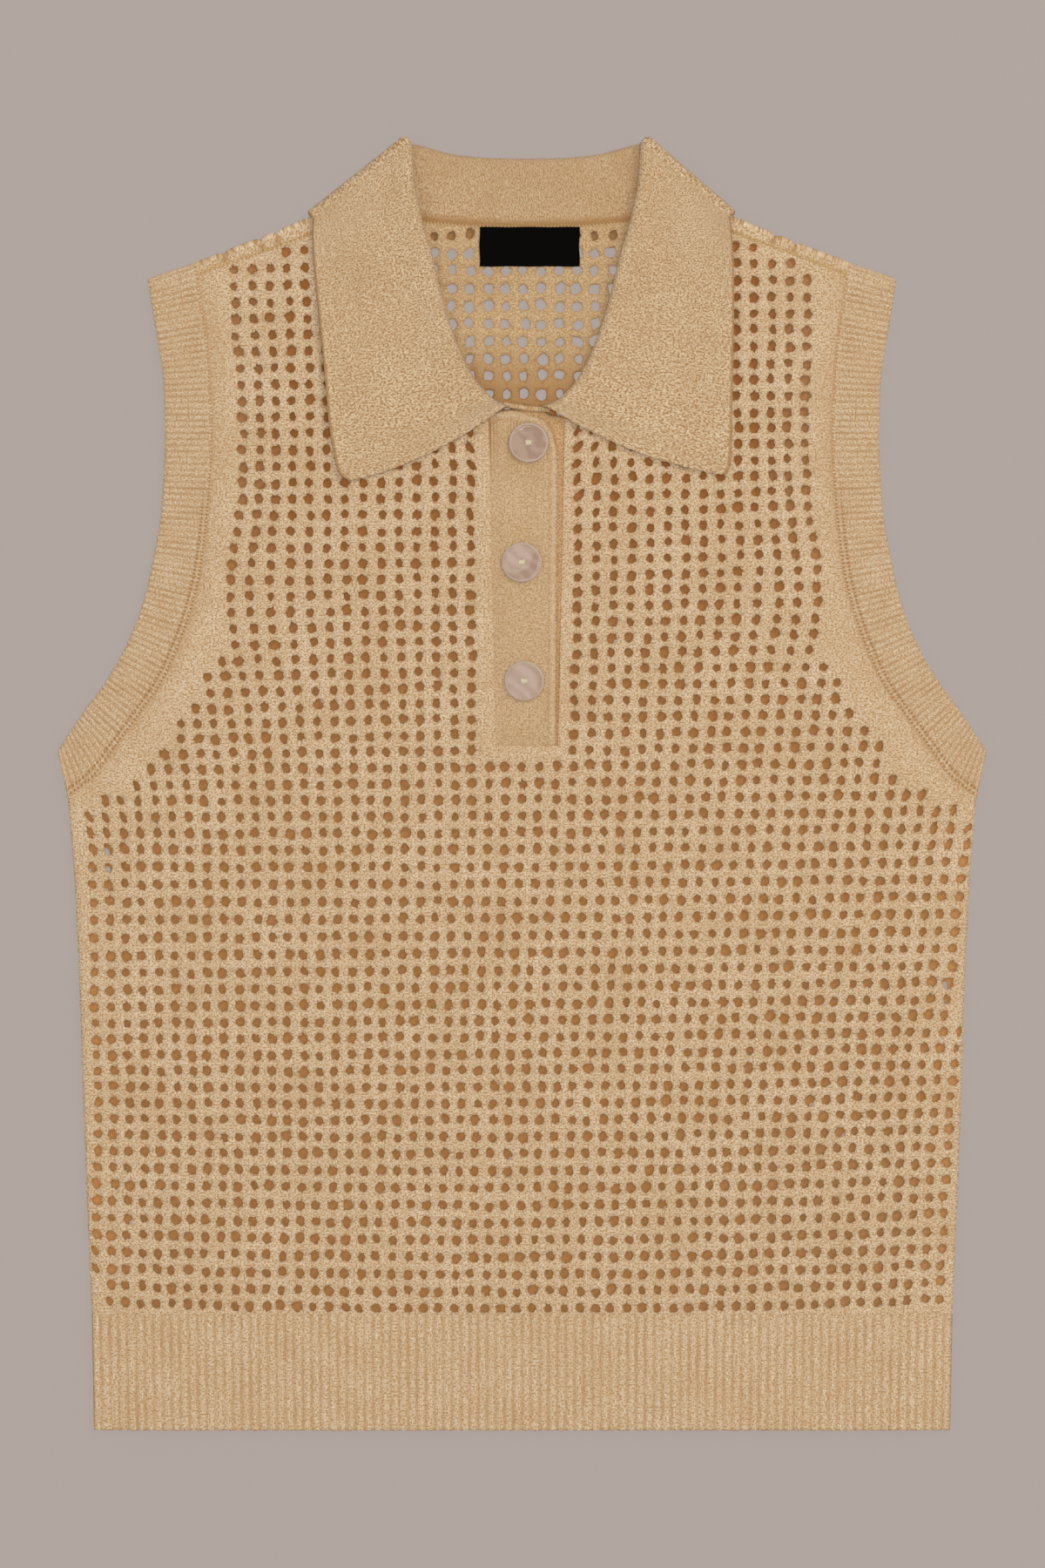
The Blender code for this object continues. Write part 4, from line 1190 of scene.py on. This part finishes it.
def make_label(finish):
    """A blank woven label, whose ends are turned under and whose corners lift a little."""
    wide, tall = LABEL_SIZE
    across = np.concatenate([[0.0, 0.006, 0.016], np.linspace(0.03, 0.97, 45), [0.984, 0.994, 1.0]])
    up = np.concatenate([[0.0, 0.015, 0.04], np.linspace(0.08, 0.92, 21), [0.96, 0.985, 1.0]])
    u, v = np.meshgrid(across, up)
    x = LABEL_MIDDLE[0] + wide * (u - 0.5) + 0.18 * np.sin(v * 9.0) * (np.abs(u - 0.5) * 2.0) ** 6
    height = LABEL_MIDDLE[1] + tall * (v - 0.5) + 0.16 * np.sin(u * math.pi * 5.0) * (v - 0.5)
    to_end = np.minimum(u, 1.0 - u) * wide
    to_edge = np.minimum(to_end, np.minimum(v, 1.0 - v) * tall)
    edge = rounded(to_edge, 0.6)
    low = back_inside(x, height) + GAP
    ripple = 0.18 * waves(x, height, 11.0, 21.0) * ease(to_edge / 3.0)
    top = low + 0.62 + ripple + 0.14 * ease((4.2 - to_end) / 0.7) - 0.4 * edge
    return wall_over("label_blank", x, height, top, low, edge, finish, "label_weave", "neck_label")


def turned(profile, steps):
    """Points and faces of a profile turned about z, with a point at each end."""
    turn = np.arange(steps) * ROUND / steps
    points = [(0.0, 0.0, profile[0][1])]
    for radius, z in profile[1:-1]:
        points += [(radius * math.cos(a), radius * math.sin(a), z) for a in turn]
    points.append((0.0, 0.0, profile[-1][1]))
    last = 1 + (len(profile) - 3) * steps
    faces = []
    for s in range(steps):
        n = (s + 1) % steps
        faces.append((0, 1 + s, 1 + n))
        faces += [(a + s, a + steps + s, a + steps + n, a + n) for a in range(1, last, steps)]
        faces.append((last + n, last + s, len(points) - 1))
    return np.array(points), faces


def drill(shell, x, height):
    """Cuts the four thread holes through a button."""
    pins = []
    for across in (-HOLE_RING, HOLE_RING):
        for up in (-HOLE_RING, HOLE_RING):
            place = metres((x + across, height + up, BUTTON_Z))
            pin = {"vertices": 16, "radius": THREAD_HOLE * MM, "depth": PIN * MM, "location": place}
            bpy.ops.mesh.primitive_cylinder_add(**pin)
            pins.append(bpy.context.object)
    for pin in pins:
        pin.select_set(True)
    bpy.context.view_layer.objects.active = pins[0]
    bpy.ops.object.join()
    cut = shell.modifiers.new("Holes", "BOOLEAN")
    cut.operation = "DIFFERENCE"
    cut.object = pins[0]
    bpy.context.view_layer.update()
    evaluated = shell.evaluated_get(bpy.context.evaluated_depsgraph_get())
    holed = bpy.data.meshes.new_from_object(evaluated)
    holed.set_sharp_from_angle(angle=SHELL_SHARP)
    shell.modifiers.clear()
    whole, shell.data = shell.data, holed
    bpy.data.meshes.remove(whole)
    bpy.data.objects.remove(pins[0])


def make_button(k, x, height, finish, thread_finish):
    """A turned shell button with four thread holes, sewn on with cream thread."""
    points, faces = turned(SHELL_PROFILE, BUTTON_STEPS)
    knit, painted_shading = points[:, :2], np.zeros(len(points))
    points = points + (x, height, BUTTON_Z)
    shell = make_piece(f"shell_button_{k}", points, faces, knit, painted_shading, finish, "shell", f"button_{k}")
    drill(shell, x, height)
    generator = random.Random(THREAD_SEED + k)
    strands = []
    t = np.linspace(0.0, 1.0, 9)
    arch = np.sin(math.pi * t)
    for side in SIDES:
        for n in range(STRANDS):
            off = (n - (STRANDS - 1) / 2) * STRAND_PITCH
            lean = generator.uniform(-0.7, 0.7)
            path_x = x + side * HOLE_RING * (1.0 - 0.5 * arch) + off * (0.5 + 0.5 * arch) + lean * (t - 0.5)
            path_y = height + (2.0 * t - 1.0) * (HOLE_RING + 0.15 + 0.55 * generator.random())
            path_z = BUTTON_Z + 1.2 + (1.25 + 0.25 * generator.random()) * arch**0.4
            strands.append(tube(np.stack([path_x, path_y, path_z], -1), *STRAND))
    shank = [(x, height, BUTTON_Z - 0.45), (x, height, BUTTON_Z + 0.4)]
    strands.append(tube(shank, *SHANK))
    join_tubes(f"button_thread_{k}", strands, thread_finish, "collar_knit")


# Sewing.


def stitch(x, height, z, angle, long, thick):
    """A short plump stitch, turned by an angle from x."""
    at, fat = STITCH_SHAPE[:, :1], STITCH_SHAPE[:, 1:]
    around = np.arange(STITCH_SIDES)
    turn = around * ROUND / STITCH_SIDES
    c, s = math.cos(angle), math.sin(angle)
    sideways = thick / 2 * fat * np.cos(turn)
    up = thick / 2 * fat * np.sin(turn) + thick * 0.25 * (1.0 - at * at)
    ahead = long / 2 * at + 0.0 * turn
    rings = np.stack([x + c * ahead - s * sideways, height + s * ahead + c * sideways, z + up], -1)
    return rings, np.stack([around * 0.3 + 0.0 * at, ahead], -1)


def stitches_along(line, pitch, generator, angle, form, z_of):
    """Stitches a pitch apart along a line, turned by an angle to it. form is a row such as
    SHOULDER_STITCH, and z_of gives the face that they lie on."""
    line = spaced(line, pitch)
    long, thick, sink = form
    made = []
    for (x, height), (dx, dy) in zip(line, np.gradient(line, axis=0)):
        turn = math.atan2(dy, dx) + angle + generator.uniform(-0.28, 0.28)
        z = float(z_of(x, height)) - sink * thick
        size = generator.uniform(0.88, 1.12)
        made.append(stitch(x, height, z, turn, long * size, thick * generator.uniform(0.9, 1.1)))
    return made


def make_sewing(finish):
    generator = random.Random(SEWING_SEED)
    shoulders, bands = [], []
    for side in SIDES:
        line = [shoulder_seam(side, t) + (0.0, 0.2) for t in (0.0, 1.0)]
        shoulders += stitches_along(line, 2.3, generator, SHOULDER_LEAN[side], SHOULDER_STITCH, front_top)
    for side in SIDES:
        line = ARMHOLE_FINE[:, :2] * (side, 1)
        bands += stitches_along(line, PIT_PITCH, generator, 0.12, BAND_STITCH, front_top)
    line = np.array(neck_line(-1, BACK_NECK) + neck_line(1, BACK_NECK[-2::-1])) - (0.0, 0.1)
    neck = stitches_along(line, 1.7, generator, math.radians(84.0), NECK_STITCH, back_inside)
    join_tubes("shoulder_sewing", shoulders, finish, "openwork_knit")
    join_tubes("armhole_sewing", bands, finish, "rib_knit")
    join_tubes("neck_sewing", neck, finish, "collar_knit")


# What each sheet of cloth was cut or knitted to.


def area_of(outline):
    """Area of a closed plan, in square millimetres."""
    x, y = np.asarray(outline, float).T
    return abs(np.dot(x, np.roll(y, -1)) - np.dot(y, np.roll(x, -1))) / 2


def flat_sheet(piece, width, length, held, *rests_on, area=None):
    """Takes a piece's flat size, in millimetres and square millimetres, turns the area into square metres and
    keeps nothing.
    """
    area = None if area is None else area * MM * MM


def state_sheets(made):
    low = HEM_HEIGHT + MEET
    wide = 2.0 * SIDE[-1][1]
    front, back = area_of(front_outline()), area_of(back_outline())
    flat_sheet(made["front"], wide, FRONT_NECK[SEAM_ROW][1] - low, "laid", "back_net", area=front)
    flat_sheet(made["back"], wide, BACK_NECK[0][1] - low, "laid", "floor", area=back)
    for piece in made["strips"]:
        flat_sheet(piece, *SHOULDER_STRIP, "folded", "back_net", "front_net")
    hem = (2.0 * body_half(HEM_HEIGHT), HEM_HEIGHT)
    flat_sheet(made["front_hem"], *hem, "laid", "hem_back")
    flat_sheet(made["back_hem"], *hem, "laid", "floor")
    wide = float(np.linalg.norm(ARMHOLE_ROWS[:, 2:] - ARMHOLE_ROWS[:, :2], axis=1).mean())
    for piece in made["bands"]:
        flat_sheet(piece, wide, 2.0 * ARMHOLE_LENGTH + BAND_FOLD, "folded", "floor")
    flat_sheet(made["collar"], *COLLAR_FLAT, "folded", "back_net", "front_net", area=COLLAR_AREA)
    wide = PLACKET_RIGHT[1] - PLACKET_HEAD[0][0]
    flat_sheet(made["over"], wide, PLACKET_HEAD[1][1] - SLOT_FOOT, "laid", "placket_below")
    flat_sheet(made["under"], SLOT_RIGHT[1] - UNDER_LEFT, UNDER_HEAD - SLOT_FOOT, "laid", "back_net")
    flat_sheet(made["label"], *LABEL_SIZE, "laid", "back_net")


# Materials.


def srgb(red, green, blue):
    """A colour given as 0 to 255 on a screen, in linear light."""
    made = []
    for value in (red, green, blue):
        value = value / 255.0
        made.append(value / 12.92 if value <= 0.04045 else ((value + 0.055) / 1.055) ** 2.4)
    return tuple(made)


YARN_PALE = srgb(248, 230, 202)
YARN_MID = srgb(221, 193, 155)
# The gold is both the yarn's darker flecks and painted shade in pores, furrows and holes; the brown after it
# is only painted shade, deep in holes.
YARN_GOLD = srgb(183, 141, 92)
YARN_SHADE_BROWN = srgb(150, 94, 42)
FLOOR_COLOUR = srgb(175, 164, 158)
FLOOR_DIM = tuple(c * 0.16 for c in FLOOR_COLOUR)
FLOOR_PALE = tuple(c * 1.02 for c in FLOOR_DIM)
FLOOR_GLOW = 0.86  # share of the floor's tone that doesn't depend on the lights
SHADE_HEIGHTS = (240.0, 490.0)  # between which a shaded yarn's tone changes


class Nodes:
    """A material's nodes, placed one by one."""

    def __init__(self, name):
        self.material = bpy.data.materials.new(name)
        self.material.use_nodes = True
        self.tree = self.material.node_tree
        self.shader = self.tree.nodes["Principled BSDF"]

    @cached_property
    def uv(self):
        return self.add("UVMap", uv_map="knit").outputs[0]

    def put(self, socket, value):
        """Links an output to a socket, or sets a constant."""
        if isinstance(value, bpy.types.NodeSocket):
            self.tree.links.new(value, socket)
        else:
            colour = socket.type == "RGBA" and len(value) == 3
            socket.default_value = (*value, 1.0) if colour else value

    def add(self, kind, inputs=None, **settings):
        node = self.tree.nodes.new("ShaderNode" + kind)
        for key, value in settings.items():
            setattr(node, key, value)
        for key, value in (inputs or {}).items():
            self.put(node.inputs[key], value)
        return node

    def math(self, operation, *values):
        return self.add("Math", dict(enumerate(values)), operation=operation).outputs[0]

    def times(self, a, b):
        return self.math("MULTIPLY", a, b)

    def plus(self, a, b):
        return self.math("ADD", a, b)

    def minus(self, a, b):
        return self.math("SUBTRACT", a, b)

    def blend(self, share, low, high):
        return self.add("Mix", {0: share, 6: low, 7: high}, data_type="RGBA").outputs[2]

    def scaled(self, vector, *scale):
        return self.add("Mapping", {"Vector": vector, "Scale": scale}).outputs[0]

    def noise(self, vector, scale, detail=2.0, rough=0.5, output="Fac"):
        inputs = {"Vector": vector, "Scale": scale, "Detail": detail, "Roughness": rough}
        return self.add("TexNoise", inputs).outputs[output]

    def bands(self, vector, direction, **inputs):
        inputs["Vector"] = vector
        node = self.add("TexWave", inputs, wave_type="BANDS", bands_direction=direction)
        return node.outputs["Fac"]

    def ramp(self, value, low, high):
        inputs = {"Value": value, "From Min": low, "From Max": high}
        return self.add("MapRange", inputs, interpolation_type="SMOOTHSTEP").outputs[0]

    def attribute(self, name):
        return self.add("Attribute", attribute_name=name).outputs["Fac"]

    def finish(self, colour, roughness, gloss=None, relief=None, **more):
        """Sets the shader. relief is a height with its bump's strength and depth."""
        inputs = {"Base Color": colour, "Roughness": roughness}
        if gloss is not None:
            inputs["Specular IOR Level"] = gloss
        if relief:
            height, strength, depth = relief
            bump = {"Strength": strength, "Distance": depth, "Height": height}
            inputs["Normal"] = self.add("Bump", bump).outputs[0]
        inputs.update({key.replace("_", " "): value for key, value in more.items()})
        for key, value in inputs.items():
            self.put(self.shader.inputs[key], value)
        return self.material


def knit_material(name, vee, pale=YARN_PALE, mid=YARN_MID, gold=YARN_GOLD, shaded=None):
    """A slubby yarn in plain knit. vee is how clearly the slanted halves of its stitches show.
    shaded is an attribute, its share, and the colours of painted shade that it turns the yarn to at
    the hem and at the shoulder."""
    n = Nodes(name)
    wobble = n.noise(n.uv, 0.5, 1.5, output="Color")
    shift = n.add("VectorMath", {0: wobble, 1: (1.6, 1.6, 0.0), 2: n.uv}, operation="MULTIPLY_ADD").outputs[0]
    placed = n.add("SeparateXYZ", {0: shift}).outputs
    across = n.times(n.math("PINGPONG", placed[0], WALE / 2), 2.0 / WALE)
    slanted = n.plus(n.math("DIVIDE", placed[1], COURSE), n.times(across, SLANT))
    strand = n.times(n.math("PINGPONG", slanted, 0.5), n.math("PINGPONG", across, 0.5))
    strand = n.minus(1.0, n.ramp(strand, 0.0, 0.16))
    loops = {"Vector": n.scaled(shift, 1.0 / LOOP[0], 1.0 / LOOP[1], 1.0), "Scale": 1.0}
    cells = n.add("TexVoronoi", loops, voronoi_dimensions="2D").outputs
    each = n.add("SeparateColor", {0: cells["Color"]}).outputs[0]
    fibre = n.noise(n.uv, 2.6, 3.0, 0.7)
    flecks = n.noise(n.scaled(n.uv, 0.85, 1.0, 1.0), 1.2, 1.0, 0.6)
    cloudy = n.noise(n.uv, 0.035, 3.0, 0.6)
    tone = n.plus(n.times(each, 0.3), n.times(fibre, 0.9))
    tone = n.plus(tone, n.times(n.minus(cloudy, 0.5), 0.5))
    colour = n.blend(n.ramp(tone, 0.35, 0.85), mid, pale)
    # Pores between the loops and along the stitches' slanted halves are painted gold, painted shade between
    # the loops, together with flecks that are the yarn's own darker tone.
    pore = n.times(n.ramp(cells["Distance"], 0.3, 0.75), 0.55)
    pore = n.math("MAXIMUM", pore, n.times(strand, vee))
    pore = n.math("MAXIMUM", pore, n.times(n.ramp(flecks, 0.45, 0.62), 0.95))
    # Painted highlight and shade: yarn that stands proud is painted a little paler with fainter pores, and
    # furrows, holes and seams are painted gold, then brown where deepest.
    painted_shading = n.attribute("painted_shading")
    raised = n.ramp(n.times(painted_shading, -1.0), 0.0, 0.3)
    pore = n.times(pore, n.minus(1.0, n.times(raised, 0.2)))
    colour = n.blend(pore, n.blend(n.times(raised, 0.1), colour, pale), gold)
    colour = n.blend(n.ramp(painted_shading, 0.1, 0.6), colour, gold)
    colour = n.blend(n.times(n.ramp(painted_shading, 0.45, 1.0), 0.85), colour, YARN_SHADE_BROWN)
    # Painted shade from a further attribute, in tones that change with height.
    if shaded:
        where, share, low, high = shaded
        dark = n.blend(n.ramp(placed[1], *SHADE_HEIGHTS), low, high)
        colour = n.blend(n.times(n.attribute(where), share), colour, dark)
    relief = (n.minus(n.times(fibre, 0.8), pore), 0.55, 0.0006)
    return n.finish(colour, 0.92, 0.15, relief, Sheen_Weight=0.12, Sheen_Roughness=0.5)


def shell_material():
    """Pale shell with a faint swirl."""
    n = Nodes("shell")
    place = n.add("TexCoord").outputs["Object"]
    warp = n.noise(n.scaled(place, 90.0, 60.0, 90.0), 1.0, 3.0, 0.6)
    veins = n.bands(n.scaled(place, 75.0, 75.0, 75.0), "DIAGONAL", Scale=1.0, Distortion=9.0, Detail=2.5)
    tone = n.plus(n.times(veins, 0.45), n.times(warp, 0.7))
    colour = n.blend(n.ramp(tone, 0.3, 0.85), srgb(160, 131, 110), srgb(174, 147, 128))
    # The rim is painted paler, a painted highlight that offsets the shade on its rounded edge.
    radius = n.add("VectorMath", {0: n.uv}, operation="LENGTH").outputs["Value"]
    colour = n.blend(n.times(n.ramp(radius, 8.2, 9.2), 0.75), colour, srgb(206, 186, 171))
    relief = (n.noise(n.uv, 2.4, 2.0), 0.12, 0.0002)
    return n.finish(colour, 0.56, 0.28, relief, Coat_Weight=0.04)


def thread_material():
    n = Nodes("cream_thread")
    twist = n.bands(n.uv, "DIAGONAL", Scale=1.6)
    colour = n.blend(twist, srgb(206, 186, 150), srgb(236, 224, 198))
    return n.finish(colour, 0.7, relief=(twist, 0.5, 0.0001))


def label_material():
    """Black satin weave with fine ribs and no lettering."""
    n = Nodes("black_label")
    warp = n.bands(n.uv, "Y", Scale=1.1, Distortion=0.6)
    weft = n.noise(n.scaled(n.uv, 7.0, 1.6, 1.0), 1.0, 2.0)
    weave = n.plus(n.times(warp, 0.5), n.times(weft, 0.6))
    colour = n.blend(n.ramp(weave, 0.2, 1.0), srgb(1, 1, 0), srgb(8, 7, 4))
    return n.finish(colour, 0.85, 0.06, (weave, 0.5, 0.0002))


def floor_material():
    n = Nodes("floor")
    soft = n.noise(n.add("TexCoord").outputs["Object"], 1.2, 2.0)
    colour = n.blend(soft, FLOOR_DIM, FLOOR_PALE)
    return n.finish(colour, 0.9, 0.1, Emission_Color=FLOOR_COLOUR, Emission_Strength=FLOOR_GLOW)


# The stage.


def make_floor():
    bpy.ops.mesh.primitive_plane_add(size=FLOOR_SIZE, location=(0.0, 0.0, FLOOR_Z))
    floor = bpy.context.object
    floor.name = "floor"
    floor.data.materials.append(floor_material())


def make_camera():
    data = bpy.data.cameras.new("camera")
    data.sensor_fit = "VERTICAL"
    data.sensor_width, data.sensor_height = SENSOR
    data.lens = LENS
    camera = bpy.data.objects.new("camera", data)
    bpy.context.scene.collection.objects.link(camera)
    away = VIEW_HEIGHT * LENS / SENSOR[1] + 5.0
    camera.location = metres((*VIEW_MIDDLE, away))
    bpy.context.scene.camera = camera


def make_lights():
    for name, place, size, power, colour in LIGHTS:
        data = bpy.data.lights.new(name, "AREA")
        data.shape = "DISK"
        data.size, data.energy, data.color = size, power, colour
        light = bpy.data.objects.new(name, data)
        bpy.context.scene.collection.objects.link(light)
        light.location = place
        light.rotation_euler = (-Vector(place)).to_track_quat("-Z", "Y").to_euler()
    world = bpy.data.worlds.new("studio")
    world.use_nodes = True
    background = world.node_tree.nodes["Background"].inputs
    background["Color"].default_value, background["Strength"].default_value = AMBIENT
    bpy.context.scene.world = world
    bpy.context.scene.view_settings.view_transform = "Standard"


def make_finishes():
    """The yarns of each piece, which differ in how close they are knitted, and in tones that paint how each
    piece is lit and shaded.
    """
    # Painted shade on the back's inner face where the front covers it, from the hem's tone to the shoulder's.
    hidden = ("covered_shade", 1.0, srgb(213, 153, 89), srgb(193, 129, 70))
    # Painted shade on the collar's stand and its inner face.
    stand = ("inside", 0.3, YARN_GOLD, YARN_GOLD)
    yarns = {  # how clearly its stitches show, its pale and its mid tone
        "openwork_yarn": (0.4, YARN_PALE, YARN_MID),
        # The back's yarn is painted darker and more golden than the front's, a painted shade.
        "openwork_shaded": (0.4, srgb(232, 208, 170), srgb(208, 176, 132)),
        "rib_yarn": (0.6, srgb(255, 241, 214), srgb(233, 206, 169)),
        "collar_yarn": (0.25, srgb(240, 219, 186), srgb(213, 184, 145)),
        "placket_yarn": (0.55, srgb(236, 214, 181), srgb(211, 181, 142)),
        # The under placket's deeper orange is painted shade, where it lies under the upper placket.
        "under_placket_yarn": (0.4, srgb(240, 204, 156), srgb(226, 182, 130)),
        "sewing_yarn": (0.2, srgb(224, 194, 140), srgb(206, 168, 110)),
    }
    more = {
        "openwork_shaded": {"shaded": hidden},
        "collar_yarn": {"shaded": stand, "gold": srgb(172, 128, 78)},
    }
    return {name: knit_material(name, *tones, **more.get(name, {})) for name, tones in yarns.items()}


def main():
    make_camera()
    make_lights()
    make_floor()
    yarn = make_finishes()
    plain, rib, placket = yarn["openwork_yarn"], yarn["rib_yarn"], yarn["placket_yarn"]
    made = {
        "front": make_front(plain),
        "back": make_back(yarn["openwork_shaded"]),
        "strips": [make_strip(side, plain) for side in SIDES],
        "front_hem": make_hem("hem_front", 1, rib, "front_hem"),
        "back_hem": make_hem("hem_back", -1, rib, "back_hem"),
        "bands": [make_band(side, rib) for side in SIDES],
        "collar": make_collar(yarn["collar_yarn"]),
        "over": make_placket(placket),
        "under": make_under_placket(yarn["under_placket_yarn"]),
        "label": make_label(label_material()),
    }
    state_sheets(made)
    shell, thread = shell_material(), thread_material()
    for k, (x, height) in enumerate(BUTTONS, 1):
        make_button(k, x, height, shell, thread)
    make_neck_roll(placket)
    make_sewing(yarn["sewing_yarn"])


main()
